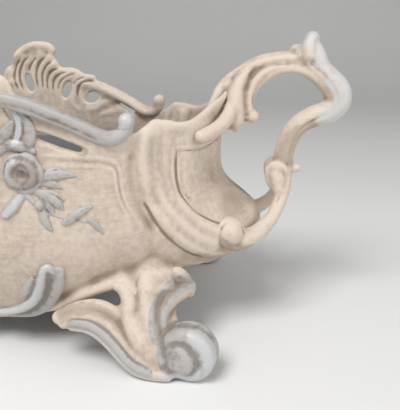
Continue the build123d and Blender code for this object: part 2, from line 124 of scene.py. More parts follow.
def edit_all(piece, operator, **settings):
    """Run a mesh operator on the whole of a piece."""
    only(piece)
    bpy.ops.object.mode_set(mode="EDIT")
    bpy.ops.mesh.select_all(action="SELECT")
    operator(**settings)
    bpy.ops.object.mode_set(mode="OBJECT")


def mesh_copy(source, name):
    """A new object with its own copy of another one's mesh."""
    twin = bpy.data.objects.new(name, source.data.copy())
    bpy.context.scene.collection.objects.link(twin)
    return twin


def casting_of(node):
    """A welded copy of a CAD node's mesh, as the blank that a piece is carved from."""
    blank = mesh_copy(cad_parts[node], node + "_blank")
    blank.data.materials.clear()
    edit_all(blank, bpy.ops.mesh.remove_doubles, threshold=0.00001)
    return blank


def roll(points, radii, flat=1.0, facing=(0.0, -1.0, 0.0)):
    """A round, tapering roll of metal through points given in millimetres.

    flat is thickness over width, and the flat side looks along facing.
    """
    bpy.ops.object.select_all(action="DESELECT")
    bpy.ops.curve.primitive_bezier_curve_add()
    curve = bpy.context.object
    curve.data.splines.clear()
    spline = curve.data.splines.new("BEZIER")
    spline.bezier_points.add(len(points) - 1)
    for knot, point, radius in zip(spline.bezier_points, points, radii):
        knot.co = Vector(point) * MM
        knot.radius = radius
        knot.handle_left_type = "AUTO"
        knot.handle_right_type = "AUTO"
    spline.resolution_u = 8
    spline.radius_interpolation = "CARDINAL"
    curve.data.dimensions = "3D"
    curve.data.bevel_depth = MM
    curve.data.bevel_resolution = 5
    curve.data.use_fill_caps = True
    only(curve)
    bpy.ops.object.convert(target="MESH")
    piece = bpy.context.object
    if flat != 1.0:
        flatten_along(piece, points, flat, facing)
    ends = [ball(points[0], radii[0], flat, facing), ball(points[-1], radii[-1], flat, facing)]
    return join(piece, ends)


def flatten_along(piece, points, flat, facing):
    """Press a roll flat about its own middle line."""
    facing = np.array(Vector(facing).normalized())
    line = dense(points, 0.5)
    spots = coordinates(piece)
    nearest = line[distance_to(spots, line)[1]]
    height = (spots - nearest) @ facing
    spots -= np.outer(height * (1.0 - flat), facing)
    set_coordinates(piece, spots)


def ball(centre, radius, flat=1.0, facing=(0.0, -1.0, 0.0)):
    """A ball of metal, pressed flat along a direction."""
    bpy.ops.object.select_all(action="DESELECT")
    bpy.ops.mesh.primitive_uv_sphere_add(segments=20, ring_count=12, radius=radius * MM)
    piece = bpy.context.object
    turn = Vector((0.0, 0.0, 1.0)).rotation_difference(Vector(facing)).to_matrix().to_4x4()
    squeeze = Matrix.Diagonal((1.0, 1.0, flat, 1.0))
    place = Matrix.Translation(Vector(centre) * MM)
    piece.data.transform(place @ turn @ squeeze)
    return piece


def join(piece, others):
    """Join other objects into this one."""
    if others:
        only(piece, *others)
        bpy.ops.object.join()
    return bpy.context.object if others else piece


def cast_together(piece, others, voxel, smoothing=4, fillet=0.0):
    """Fuse overlapping pieces into one cast skin of an even grain.

    fillet in mm fills the creases: the skin swells, fuses again and is drawn back in.
    """
    piece = join(piece, others)
    apply_modifier(piece, "REMESH", mode="VOXEL", voxel_size=voxel, adaptivity=0.0)
    for way in (fillet, -fillet) if fillet else ():
        apply_modifier(piece, "DISPLACE", strength=way * MM, mid_level=0.0)
        apply_modifier(piece, "REMESH", mode="VOXEL", voxel_size=voxel, adaptivity=0.0)
    if smoothing:
        apply_modifier(piece, "SMOOTH", factor=0.5, iterations=smoothing)
    return piece


def coordinates(piece):
    spots = np.empty(len(piece.data.vertices) * 3)
    piece.data.vertices.foreach_get("co", spots)
    return spots.reshape(-1, 3)


def set_coordinates(piece, spots):
    piece.data.vertices.foreach_set("co", spots.ravel())
    piece.data.update()


def normals(piece):
    values = np.empty(len(piece.data.vertices) * 3)
    piece.data.vertices.foreach_get("normal", values)
    return values.reshape(-1, 3)


def dense(points, step):
    """Points in metres along a smooth line through points in millimetres."""
    rows = np.array([list(point) for point in points], dtype=float)
    first = 2 * rows[0] - rows[1]
    last = 2 * rows[-1] - rows[-2]
    padded = np.vstack([first, rows, last])
    result = []
    for a, b, c, d in zip(padded[:-3], padded[1:-2], padded[2:-1], padded[3:]):
        count = max(2, int(np.linalg.norm(c - b) / step))
        for t in np.linspace(0.0, 1.0, count, endpoint=False):
            lean = 2 * b + (c - a) * t + (2 * a - 5 * b + 4 * c - d) * t**2
            result.append(0.5 * (lean + (3 * b - a - 3 * c + d) * t**3))
    result.append(rows[-1])
    return np.array(result) * MM


def distance_to(spots, line):
    """Distance from each spot to the nearest point of a line, and that point's number."""
    best = np.full(len(spots), 1e9)
    which = np.zeros(len(spots), dtype=int)
    for start in range(0, len(line), 16):
        part = line[start:start + 16]
        gaps = np.linalg.norm(spots[:, None, :] - part[None, :, :], axis=2)
        here = gaps.argmin(axis=1)
        gap = gaps[np.arange(len(spots)), here]
        closer = gap < best
        best[closer] = gap[closer]
        which[closer] = here[closer] + start
    return best, which


def boxed(spots, line, reach):
    """Which spots lie in a line's box, grown by a reach in mm."""
    low = line.min(axis=0) - reach * MM
    high = line.max(axis=0) + reach * MM
    return np.all((spots > low) & (spots < high), axis=1)


def chisel(piece, strokes, facing=None, axes=(0, 1, 2), half=0):
    """Raise ribs and cut grooves along lines.

    A stroke is (points in mm, half width in mm, height in mm). A height below zero cuts.
    With facing, only faces that look that way are touched. axes (0, 2) takes points as
    X and Z alone and reaches through the whole depth; half 1 or -1 keeps to the far or the
    near half of that depth.
    """
    spots = coordinates(piece)
    outward = normals(piece)
    seen = spots[:, axes]
    push = np.zeros(len(spots))
    for points, half_width, height in strokes:
        line = dense(points, 0.8)
        near = boxed(seen, line, half_width) & (half * spots[:, 1] >= 0.0)
        if facing is not None:
            near &= outward @ np.array(facing) > 0.15
        index = np.nonzero(near)[0]
        if not len(index):
            continue
        gap, which = distance_to(seen[index], line)
        share = np.clip(1.0 - gap / (half_width * MM), 0.0, 1.0)
        ends = np.minimum(which, len(line) - 1 - which) / max(1, 0.15 * len(line))
        push[index] += height * MM * share * share * (3.0 - 2.0 * share) * np.clip(
            0.2 + ends, 0.0, 1.0)
    set_coordinates(piece, spots + outward * push[:, None])


def ripple(piece, height, length, seed):
    """Slow unevenness, as from a hand-made mould; height and length in m."""
    random = np.random.default_rng(seed)
    spots = coordinates(piece)
    total = np.zeros(len(spots))
    for _ in range(7):
        way = random.normal(size=3)
        way *= 2.0 * math.pi / (length * np.linalg.norm(way)) * random.uniform(0.6, 1.6)
        total += np.sin(spots @ way + random.uniform(0.0, 6.3))
    set_coordinates(piece, spots + normals(piece) * (total * height / 2.6)[:, None])


def store_hollows(piece):
    """Write how hollow each place is, in mm, to an attribute for the glaze, the wear and the
    painted shade in the hollows.
    """
    count = len(piece.data.vertices)
    pairs = np.empty(len(piece.data.edges) * 2, dtype=np.int64)
    piece.data.edges.foreach_get("vertices", pairs)
    ones, others = pairs[0::2], pairs[1::2]
    links = np.maximum(np.bincount(pairs, minlength=count), 1.0)

    def averaged(values):
        total = np.bincount(ones, values[others], count)
        return (total + np.bincount(others, values[ones], count)) / links

    spots = coordinates(piece)
    outward = normals(piece)
    value = np.zeros(count)
    for rounds, weight in ((4, 1.1), (24, 0.22)):
        soft = spots.copy()
        for _ in range(rounds):
            for axis in range(3):
                soft[:, axis] = averaged(soft[:, axis])
        value += weight * np.sum((soft - spots) * outward, axis=1) / MM
    store(piece, "hollow", 0.5 * (value + averaged(value)))


def store(piece, name, values):
    """Write one number per vertex to an attribute."""
    layer = piece.data.attributes.new(name, "FLOAT", "POINT")
    layer.data.foreach_set("value", np.asarray(values, dtype=np.float32))


def paint_along(piece, name, lines):
    """Write 1 near lines in mm, falling to 0 further off, to an attribute.

    A line is (points, inner distance, outer distance).
    """
    spots = coordinates(piece)
    value = np.zeros(len(spots))
    for points, inner, outer in lines:
        line = dense(points, 1.0)
        index = np.nonzero(boxed(spots, line, outer))[0]
        gap, _ = distance_to(spots[index], line)
        share = np.clip((outer * MM - gap) / ((outer - inner) * MM), 0.0, 1.0)
        value[index] = np.maximum(value[index], share)
    store(piece, name, value)


def placed(piece, name, slot, *nodes):
    """Name a piece, ride it on the casing and show it in place of its CAD nodes."""
    piece.name = name
    piece.data.name = name
    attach(piece, "casing")
    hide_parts(*nodes)


def finished(piece, name, slot, paint, *nodes):
    """Paint a piece and put it in its place."""
    piece.data.materials.clear()
    piece.data.materials.append(material(paint))
    only(piece)
    bpy.ops.object.shade_smooth()
    placed(piece, name, slot, *nodes)


def copied(piece, name, matrix, slot, *nodes):
    """A copy of a finished piece at another corner, with its own mesh."""
    twin = mesh_copy(piece, name)
    twin.data.transform(matrix)
    if matrix.determinant() < 0.0:
        edit_all(twin, bpy.ops.mesh.flip_normals)
    placed(twin, name, slot, *nodes)


HALF_TURN = Matrix.Rotation(math.pi, 4, "Z")
MIRROR_X = Matrix.Diagonal((-1.0, 1.0, 1.0, 1.0))
MIRROR_Y = Matrix.Diagonal((1.0, -1.0, 1.0, 1.0))
CORNERS = {
    "front_left": MIRROR_X,
    "rear_right": MIRROR_Y,
    "rear_left": MIRROR_X @ MIRROR_Y,
}


def finished_at_corners(piece, ending, slot, paint):
    """Finish a front right piece, and copy it to the other three corners."""
    name = "front_right_" + ending
    finished(piece, name + "_cast", slot, paint, name)
    for side, matrix in CORNERS.items():
        name = side + "_" + ending
        copied(piece, name + "_cast", matrix, slot, name)


def surface_of(node):
    """A CAD node's mesh as a tree that finds places on it."""
    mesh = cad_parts[node].data
    corners = [vertex.co.copy() for vertex in mesh.vertices]
    faces = [tuple(face.vertices) for face in mesh.polygons]
    return BVHTree.FromPolygons(corners, faces)


FRONT_WALL = surface_of("front_panel")
FRONT_CREST = surface_of("front_crest")
END_WALL = surface_of("right_end_panel")
SEAM_REACH = 113.0


def front(x, z, out=0.0):
    """Place in mm near the front wall's outer face, a distance out from it."""
    start = Vector((x, -200.0, z)) * MM
    ahead = Vector((0.0, 1.0, 0.0))
    hit = FRONT_WALL.ray_cast(start, ahead)[0] or FRONT_CREST.ray_cast(start, ahead)[0]
    if hit is None or hit.y > 0.0:
        hit = FRONT_WALL.find_nearest(Vector((x, -80.0, z)) * MM)[0]
    return (x, hit.y / MM - out, z)


def end(angle, z, out=0.0):
    """Place in mm near the right end wall's outer face, at an angle about the upright seam."""
    way = Vector((math.cos(math.radians(angle)), math.sin(math.radians(angle)), 0.0))
    seam = Vector((SEAM_REACH, 0.0, z)) * MM
    hit = END_WALL.ray_cast(seam + way * 0.2, -way)[0]
    if hit is None:
        hit = END_WALL.find_nearest(seam + way * 0.05)[0]
    reach = (hit - seam).xy.length / MM + out
    return (SEAM_REACH + reach * way.x, reach * way.y, z)


# Paint and metal


# Green specks in the end wall's incised line
MOSS_SPOTS = [(134.2, -50.9, 133.1), (138.3, -50.2, 107.6), (137.2, -50.6, 109.2)]


class Field:
    """A shader socket that takes part in Python sums."""

    def __init__(self, paint, socket):
        self.paint = paint
        self.socket = socket

    def combine(self, operation, *values):
        return self.paint.node("ShaderNodeMath", {"operation": operation}, dict(enumerate(values)))

    def __add__(self, other):
        return self.combine("ADD", self, other)

    def __radd__(self, other):
        return self.combine("ADD", other, self)

    def __sub__(self, other):
        return self.combine("SUBTRACT", self, other)

    def __rsub__(self, other):
        return self.combine("SUBTRACT", other, self)

    def __mul__(self, other):
        return self.combine("MULTIPLY", self, other)

    def __rmul__(self, other):
        return self.combine("MULTIPLY", other, self)

    def ramp(self, low, high):
        """0 at low and 1 at high, smooth between; low may be the larger one."""
        settings = {"interpolation_type": "SMOOTHSTEP"}
        values = {"Value": self, "From Min": low, "From Max": high}
        return self.paint.node("ShaderNodeMapRange", settings, values)


class Paint:
    """A material, and short ways to add nodes to it."""

    def __init__(self, name):
        self.material = bpy.data.materials.new(name)
        self.material.use_nodes = True
        self.tree = self.material.node_tree
        self.tree.nodes.clear()

    def node(self, kind, settings=None, values=None, output=0):
        """Add a node, set it first, then give its sockets their values or links."""
        made = self.tree.nodes.new(kind)
        for key, value in (settings or {}).items():
            setattr(made, key, value)
        for key, value in (values or {}).items():
            if isinstance(value, Field):
                self.tree.links.new(value.socket, made.inputs[key])
            else:
                made.inputs[key].default_value = value
        return Field(self, made.outputs[output]) if made.outputs else None

    def place(self):
        return self.node("ShaderNodeTexCoord", output="Object")

    def attribute(self, name):
        return self.node("ShaderNodeAttribute", {"attribute_name": name}, output="Fac")

    def noise(self, place, scale, detail=3.0, stretch=None):
        if stretch:
            place = self.node("ShaderNodeMapping", values={"Vector": place, "Scale": stretch})
        values = {"Vector": place, "Scale": scale, "Detail": detail}
        return self.node("ShaderNodeTexNoise", values=values)

    def mix(self, first, second, share):
        """Colour that goes from the first to the second as share goes from 0 to 1."""
        values = {0: share, 6: solid(first), 7: solid(second)}
        return self.node("ShaderNodeMix", {"data_type": "RGBA"}, values, output=2)

    def near(self, place, spot, inner, outer):
        """1 near a spot in mm, falling to 0 between an inner and an outer distance in mm."""
        values = {0: place, 1: tuple(Vector(spot) * MM)}
        gap = self.node("ShaderNodeVectorMath", {"operation": "DISTANCE"}, values, output="Value")
        return gap.ramp(outer * MM, inner * MM)

    def finish(self, colour, roughness, metallic=0.0, height=None, depth=0.0001):
        """The one shader of a painted or metal surface."""
        values = {"Base Color": colour, "Roughness": roughness, "Metallic": metallic}
        if height is not None:
            bump = {"Strength": 0.6, "Distance": depth, "Height": height}
            values["Normal"] = self.node("ShaderNodeBump", values=bump)
        shader = self.node("ShaderNodeBsdfPrincipled", values=values)
        self.node("ShaderNodeOutputMaterial", values={"Surface": shader})
        return self.material


def solid(colour):
    """A plain colour as four numbers; a socket stays as it is."""
    return colour if isinstance(colour, Field) else (*colour, 1.0)


def cast_paint(name, under, over, upright):
    """Brushed matt paint with chalky strokes on top, and brown glaze mixed with painted shade in
    the hollows.

    The piece's attributes say where it is hollow, and where the grey accents and the pearl paint
    with its painted highlights go.
    upright is the share of brush strokes that run up and down.
    """
    paint = Paint(name)
    place = paint.place()
    hollow = paint.attribute("hollow")
    patches = paint.noise(place, 24.0)
    blotches = paint.noise(place, 75.0, 5.0)
    mottle = paint.noise(place, 260.0, 5.0)
    grain = paint.noise(place, 1500.0, 2.0)
    level_strokes = paint.noise(place, 1.0, 3.0, stretch=(26.0, 26.0, 900.0))
    upright_strokes = paint.noise(place, 1.0, 3.0, stretch=(800.0, 800.0, 26.0))
    way = (patches + upright).ramp(0.85, 1.15)
    strokes = level_strokes + (upright_strokes - level_strokes) * way
    # Chalky top strokes thin out where the surface is hollow, so hollows stay darker: partly real
    # dry brushing, partly painted shade. The same mask lightens the grey accents on high places.
    chalk_and_shade = ((strokes - 0.5) * 0.45 + (mottle - 0.5) * 1.0 + (patches - 0.5) * 0.8
             + hollow * -1.6 + 0.5).ramp(0.05, 0.95)
    colour = paint.mix(under, over, chalk_and_shade)
    grey_share = paint.attribute("grey") + (mottle - 0.5) * 0.7 + (strokes - 0.5) * 0.5
    grey = paint.mix(paints().grey, paints().grey_light,
                     (chalk_and_shade + (blotches - 0.5) * 0.9).ramp(0.1, 0.95))
    grey_share = grey_share.ramp(0.3, 0.68)
    colour = paint.mix(colour, grey, grey_share * 0.92)
    # Pearl paint, which in places also paints highlights where the light falls on tops and ridges.
    pearl_and_highlight_share = paint.attribute("pearl_and_highlight") + (mottle - 0.5) * 0.7 + (strokes - 0.5) * 0.6
    pearl_and_highlight_share = pearl_and_highlight_share.ramp(0.25, 0.85)
    colour = paint.mix(colour, paints().pearl_and_highlight, pearl_and_highlight_share * 0.75)
    # Brown glaze in the hollows, from the hollow attribute much like ambient occlusion and broken
    # up by noise: partly real glaze, partly painted shade in creases and recesses.
    rubbed = (blotches - 0.5) * 0.16 + (mottle - 0.5) * 0.2 + (strokes - 0.5) * 0.08
    stain_and_shade = (hollow + rubbed).ramp(0.03, 0.4) * 0.85
    # Glaze lines: brown in incised lines, and painted shade under bulges, round the slots, on the
    # handle, in the foot's folds and in the rose's heart.
    line = (paint.attribute("glaze_and_shade") + (mottle - 0.5) * 1.2).ramp(0.35, 1.0) * 0.55
    dust = (blotches + (grain - 0.5) * 0.9).ramp(0.5, 0.85) * 0.2
    stain_and_shade = stain_and_shade * (1.0 - (grey_share + pearl_and_highlight_share).ramp(0.0, 1.0) * 0.75)
    colour = paint.mix(colour, paints().glaze_and_shade, (stain_and_shade + line + dust).ramp(0.0, 1.1) * 0.8)
    specks = (grain + (blotches - 0.5) * 0.5).ramp(0.62, 0.74)
    colour = paint.mix(colour, paints().glaze_and_shade, specks * 0.22)
    for spot in MOSS_SPOTS:
        moss = (paint.near(place, spot, 0.2, 1.5) + (grain - 0.5) * 1.8).ramp(0.4, 0.75)
        colour = paint.mix(colour, paints().moss, moss * 0.8)
    rough = 0.62 - pearl_and_highlight_share * 0.16 - grey_share * 0.1 + (mottle - 0.5) * 0.2
    height = strokes * 0.35 + grain * 0.7 + mottle * 0.9
    return paint.finish(colour, rough, height=height, depth=0.0003)


def zinc_sheet(name):
    """Dull rolled zinc with a cloudy bloom."""
    paint = Paint(name)
    place = paint.place()
    cloud = paint.noise(place, 34.0, 4.0)
    rolled = paint.noise(place, 1.0, 2.0, stretch=(9.0, 500.0, 60.0))
    bloom = (cloud + rolled * 0.3).ramp(0.5, 0.85)
    colour = paint.mix(paints().zinc, tuple(0.6 * part for part in paints().zinc), bloom)
    rough = 0.42 + bloom * 0.2
    return paint.finish(colour, rough, 0.85, height=rolled + cloud * 0.5, depth=0.00008)


def bright_steel(name, tone):
    """Plated steel with fine turning marks."""
    paint = Paint(name)
    place = paint.place()
    wear = paint.noise(place, 300.0, 4.0)
    marks = paint.noise(place, 1.0, 2.0, stretch=(900.0, 900.0, 200.0))
    colour = paint.mix(tone, tuple(0.62 * part for part in tone), wear.ramp(0.4, 0.7))
    rough = 0.32 + marks * 0.2
    return paint.finish(colour, rough, 1.0, height=marks, depth=0.00003)


# Stage


def floor_and_backdrop():
    """A pale floor that sweeps up into a backdrop."""
    bpy.ops.object.select_all(action="DESELECT")
    bpy.ops.mesh.primitive_grid_add(x_subdivisions=2, y_subdivisions=24, size=1.0)
    sweep = bpy.context.object
    spots = coordinates(sweep)
    width, length, level, in_front = 8.0, 7.0, 4.5, 2.6
    along = (spots[:, 1] + 0.5) * length
    bend = np.clip(along - level, 0.0, 1.0) * math.pi / 2.0
    radius = 2.0 / math.pi
    flat = np.minimum(along, level) + radius * np.sin(bend)
    rise = radius * (1.0 - np.cos(bend)) + np.maximum(along - level - 1.0, 0.0)
    spots = np.column_stack([spots[:, 0] * width, flat - in_front, rise])
    set_coordinates(sweep, spots)
    only(sweep)
    bpy.ops.object.shade_smooth()
    sweep.name = "floor"
    paint = Paint("pale floor")
    cloud = paint.noise(paint.place(), 3.0)
    colour = paint.mix((0.80, 0.80, 0.79), (0.84, 0.84, 0.83), cloud)
    sweep.data.materials.append(paint.finish(colour, 0.7 + cloud * 0.1))


def soft_light(name, place, aim, size, power):
    """A large soft lamp that looks at a place."""
    bpy.ops.object.select_all(action="DESELECT")
    bpy.ops.object.light_add(type="AREA", location=place)
    lamp = bpy.context.object
    lamp.name = name
    lamp.data.shape = "DISK"
    lamp.data.size = size
    lamp.data.energy = power
    look = Vector(aim) - Vector(place)
    lamp.rotation_euler = look.to_track_quat("-Z", "Y").to_euler()


def studio_world():
    """An even pale surround."""
    world = bpy.data.worlds.new("surround")
    bpy.context.scene.world = world
    world.use_nodes = True
    background = world.node_tree.nodes["Background"]
    background.inputs["Color"].default_value = (1.0, 1.0, 1.0, 1.0)
    background.inputs["Strength"].default_value = 0.30


# The photograph's viewpoint: place in m, degrees downward, degrees to the left, lens in mm
VIEW_PLACE = (0.170, -0.366, 0.201)
VIEW_DOWN = 17.223
VIEW_LEFT = 4.370
VIEW_LENS = 43.9


def camera():
    bpy.ops.object.select_all(action="DESELECT")
    bpy.ops.object.camera_add(location=VIEW_PLACE)
    viewer = bpy.context.object
    viewer.rotation_euler = (math.radians(90.0 - VIEW_DOWN), 0.0, math.radians(VIEW_LEFT))
    viewer.data.sensor_width = 36.0
    viewer.data.lens = VIEW_LENS
    bpy.context.scene.camera = viewer


def cream_and(upright):
    """What makes the paint of the walls and ornaments, with its share of upright strokes."""
    return lambda name: cast_paint(name, paints().cream, paints().cream_light, upright)


def steel_of(tone):
    return lambda name: bright_steel(name, tone)


MATERIAL_MAKERS = {
    "cream paint level": cream_and(0.40),
    "cream paint upright": cream_and(0.56),
    "grey accents": cream_and(0.48),
    "zinc sheet": zinc_sheet,
    "plated steel": steel_of((0.62, 0.60, 0.56)),
    "galvanised wire": steel_of((0.50, 0.51, 0.52)),
}


def material(name):
    """A finish by its name, made when it is first asked for."""
    return bpy.data.materials.get(name) or MATERIAL_MAKERS[name](name)


# Pieces


# Signs of X and Y for lines given at the front right corner, or on the near side
FOUR_CORNERS = [(1, 1), (1, -1), (-1, 1), (-1, -1)]
FRONT_AND_REAR = [(1, 1), (-1, -1)]
NEAR_AND_FAR = [(1, 1), (1, -1)]


def repeated(lines, ways):
    """Lines repeated with their X and Y turned over by each pair of signs."""
    return [([(x * across, y * along, z) for x, y, z in points], *rest)
            for across, along in ways for points, *rest in lines]


def on_front(lines, out):
    """Lines of (x, z) places laid a distance out from the front wall."""
    return [([front(x, z, out) for x, z in points], *rest) for points, *rest in lines]


def on_wall(points, out=0.0):
    """Points moved to the nearest place of the walls' outer faces."""
    moved = []
    for point in points:
        spot = Vector(point) * MM
        hits = [wall.find_nearest(spot) for wall in (FRONT_WALL, END_WALL)]
        near = min(hits, key=lambda hit: hit[3])
        moved.append(tuple((near[0] + near[1] * out * MM) / MM))
    return moved


# The corner rib, from the rim down and round to the end's belly
RIB_LINE = [
    (117.5, -55, 157), (112.4, -58, 150), (110, -59, 135.9), (110.8, -58.6, 123.4),
    (113.5, -58, 107.3), (119.9, -59, 98.1), (128.8, -57.6, 86.1), (137.7, -54.5, 76.6),
    (150.5, -47.3, 68.2), (163.3, -33.6, 62.5),
]
RIB_RADII = [3.4, 4.3, 4.4, 4.3, 4.1, 3.8, 3.5, 3.2, 2.8, 2]
RIB_CUT = [
    (107.6, -61, 114), (111, -60.6, 104), (117, -60, 93.5), (126, -58, 81), (136, -54, 71.5),
    (148, -47.5, 64),
]
RIB_DISH = [
    (104, -64, 145), (102.3, -64.5, 128.7), (104, -63.8, 112.1), (109.5, -62, 97), (118, -60, 84),
]
# The raised border of the end wall, inside the rib, as two lines that fall away from it
RIB_SHELVES = [
    ([(119, -56, 153), (117.4, -58, 137), (118, -57, 124), (121, -58, 111), (127, -58, 101),
      (135, -56, 91), (143.5, -52, 82), (155, -45, 73.5)], -0.4, 3.7),
    ([(125, -55, 151), (124, -56, 137), (124.5, -56, 124), (127, -55, 113), (133, -54, 105),
      (140.5, -52, 96), (148.5, -48, 88), (159, -41, 80)], -2, 3.9),
]
END_LINE = [
    (131.2, -52, 139.4), (130.4, -52, 131.4), (130.6, -52, 123.2), (131.6, -52, 116.4),
    (133.5, -51.9, 110.1), (137.4, -51, 103.6), (142.6, -49.2, 97.5), (149.3, -46.5, 92.4),
    (156.8, -43.1, 88.2), (164, -39, 85.5),
]
END_TOP = [
    (131.2, -52, 139.4), (137.4, -49.1, 138.9), (144.8, -40.8, 138.4), (150.7, -26.8, 139),
    (155.6, -11.5, 140.7), (156, 0, 141.5),
]
RIM_LINE = [
    (119, -54.5, 157), (128, -53.5, 155.5), (136.5, -50, 155.8), (146, -37, 160),
    (152.8, -27.5, 165.5), (158.6, -18, 169.6), (161.2, -11, 172.4), (163, -4, 175),
]
RIM_FILL = [
    (137.5, -48, 152.5), (145.5, -36.5, 156), (151.5, -27, 160.5), (156.5, -17.5, 163.5),
    (158.5, -10, 167), (159.5, -2, 169.5),
]

# The hem band along the lower edge of a long wall, and the fill above the leg
HEM_ROLLS = [
    ([(34, -66, 27), (46, -68, 32), (58, -70.5, 38.5), (70, -71.2, 45), (82, -70.5, 50.3),
      (91, -69.5, 53.5), (98, -70, 53.5), (102, -73, 48.5), (104, -75.5, 44)],
     [1.8, 2.6, 3.2, 3.8, 4.2, 4.8, 5.2, 4.6, 3.2]),
    ([(95, -61, 63), (104, -57, 63), (112, -54, 63), (119, -51, 62.5), (124, -47.5, 62)],
     [5.5, 7, 7.5, 6.6, 4.8]),
    ([(96, -62, 56), (104, -60, 55), (112, -58.5, 54), (120, -54.5, 54), (126, -50, 54)],
     [5, 7.5, 8.4, 7.8, 6]),
    ([(108, -65, 47), (113, -65.5, 46), (119, -62.5, 46)], [6.5, 8, 7]),
]
# Beads that frame the long wall's field, as (x, z) places
FIELD_BEADS = [
    ([(50, 141), (55.7, 140.5), (70.1, 139.8), (81.9, 138.9), (90.5, 137.2), (96, 134.5),
      (97.7, 128.7), (98.6, 119.1), (100.8, 109.4), (108.7, 91.3)], 1.5, 0.32),
    ([(56, 134.6), (63.9, 134.3), (75.8, 133.8), (89.5, 131.9), (94.2, 128.7), (95, 121.4),
      (97, 111), (103, 96)], 1.3, 0.26),
    ([(60, 137.3), (78, 136.4), (91.5, 134.2), (95.7, 129), (96.7, 119.5), (98.8, 110)],
     1.2, -0.25),
]
# Ribs of the crest and the pierced leaf work under it, as (x, z) places on the front wall
CREST_RIBS = [
    ([(28.1, 188), (25.8, 195.5), (20, 200.8), (12.2, 204), (3, 204.6), (-3.5, 203), (-6.4, 200.4)],
     [2.4, 2.8, 3.4, 4, 4, 4, 3.4]),
    ([(19, 196), (24, 189.5), (26.6, 179), (24.6, 169.2), (20.4, 161)], [3, 3.2, 3, 2.6, 1.6]),
    ([(32.4, 183), (31.6, 177), (29.2, 169), (25, 161)], [3.2, 3, 2.4, 1.6]),
    ([(10, 200), (15.6, 193), (20, 185.5), (21.2, 174.1), (18.4, 162)], [3.2, 2.8, 2.4, 2.2, 1.5]),
    ([(3, 199), (8.6, 192), (11.6, 184.5), (10.9, 175), (7.4, 162.5)], [3.4, 3.2, 2.8, 2.4, 1.5]),
    ([(-4, 194.5), (0.5, 190.5), (4.6, 184), (6.2, 177), (5.4, 169), (2.6, 161)],
     [3.6, 3.4, 2.8, 2.4, 2.2, 1.5]),
    ([(-8, 188.4), (-2.6, 185.4), (1, 178.5), (1.4, 170.5), (-0.6, 161)], [4, 3.4, 2.6, 2.3, 1.5]),
    ([(-15, 183.6), (-8.2, 181.6), (-3.8, 176.4), (-2.8, 170), (-4.8, 161)],
     [3.2, 3, 2.5, 2.2, 1.5]),
    ([(-23.4, 182.4), (-15.4, 179), (-9.6, 173.8), (-8, 167.5), (-9.4, 159.5)],
     [3.2, 3, 2.5, 2.2, 1.5]),
    ([(-30, 180.6), (-21.8, 178), (-14.6, 173.4), (-11.8, 166.4), (-13.8, 158)],
     [3, 2.6, 2.2, 1.9, 1.5]),
    ([(-42, 177.6), (-32, 177.2), (-26.6, 173.2), (-24.8, 167), (-22.6, 159.5), (-23.4, 154.5),
      (-29, 150.8)], [3.2, 3.2, 3.1, 3, 2.9, 2.6, 2]),
    ([(-48, 173), (-38, 173), (-31.8, 168.6), (-30.3, 161.8), (-32.4, 154)],
     [2.4, 2.4, 2.3, 2.1, 1.6]),
    ([(-36, 151), (-43, 151.3), (-48.8, 155.6), (-55, 157.6), (-62.2, 157)],
     [2, 2.3, 2.3, 2.1, 1.4]),
    ([(-48, 146), (-56, 148.5), (-63, 150)], [1.8, 2.2, 1.6]),
]
CREST_CUTS = [
    ([(21.8, 193), (26.4, 187), (28.6, 178), (26.4, 167)], 1.6, -1.1),
    ([(14.4, 196), (20.8, 189), (23.8, 178), (21.2, 166)], 1.6, -1.1),
    ([(7.6, 195), (13.2, 188.5), (15.6, 183)], 1.6, -1.1),
    ([(-0.4, 195), (5.6, 189.6), (8.8, 181), (8.2, 169)], 1.6, -1.1),
    ([(-6.4, 191.8), (-0.8, 187.6), (3.4, 180), (3.6, 169)], 1.4, -1.1),
    ([(-12, 185.8), (-5.2, 183), (-1, 177), (-0.6, 168)], 1.3, -0.9),
    ([(-19.6, 182.8), (-11.6, 180), (-6.6, 174.6), (-5.4, 167)], 1.3, -0.9),
    ([(-27.6, 181.8), (-18.4, 178.6), (-12, 173.6), (-10, 166)], 1.3, -0.9),
    ([(-36, 179), (-28.4, 176), (-23.4, 171.6)], 1.4, -0.9),
    ([(-44, 175.4), (-34.6, 174.6), (-29, 170), (-27.3, 162)], 1.3, -1.1),
]
CREST_DOMES = [((4.5, 197.5), 8.5), ((12, 195), 7), ((19.5, 190), 6)]
# Holes and slots of the pierced work: centre (x, z), length, width and tilt
PIERCINGS = [
    ((15.9, 173.4), 17, 5.8, 76), ((-17.9, 167.6), 15.5, 7, 112), ((-40.4, 161.2), 14, 8.4, 157),
    ((36, 166), 13, 5, 118), ((57.5, 150.2), 23, 4.2, -20), ((68, 146), 26, 3.8, -19),
    ((-72, 152.8), 23, 3.8, 26.7),
]
# Fill in the holes of the blank: line of (x, z) places and half width
PLUGS = [
    ([(17, 163.5), (17, 170.5)], 7),
    ([(-17, 163.5), (-17, 170.5)], 7),
    ([(33, 163.5), (41, 158.5)], 7),
    ([(-33, 163.5), (-41, 158.5)], 7),
    ([(50, 151.4), (75, 143.8)], 6.4),
    ([(-58, 148.8), (-76, 155.2)], 6.4),
]


def drill(centre, length, width, tilt, way):
    """An oval punch through a long wall; way is 1 at the front and -1 at the rear."""
    bpy.ops.object.select_all(action="DESELECT")
    bpy.ops.mesh.primitive_cylinder_add(vertices=32, radius=0.5 * MM, depth=60 * MM)
    punch = bpy.context.object
    upright = Matrix.Rotation(math.radians(90.0), 4, "X")
    size = Matrix.Diagonal((length, width, 1.0, 1.0))
    turn = Matrix.Rotation(math.radians(-tilt), 4, "Y")
    place = Matrix.Translation(Vector((centre[0], -80.0, centre[1])) * MM)
    punch.data.transform(place @ turn @ upright @ size)
    if way < 0:
        punch.data.transform(HALF_TURN)
    return punch


# Fillets and sinking of the walls' parts, in mm
WALL_FILLET = 2.4
EDGE_FILLET = 0.7
PLUG_SINK = 1.5
CREST_SINK = 1.9


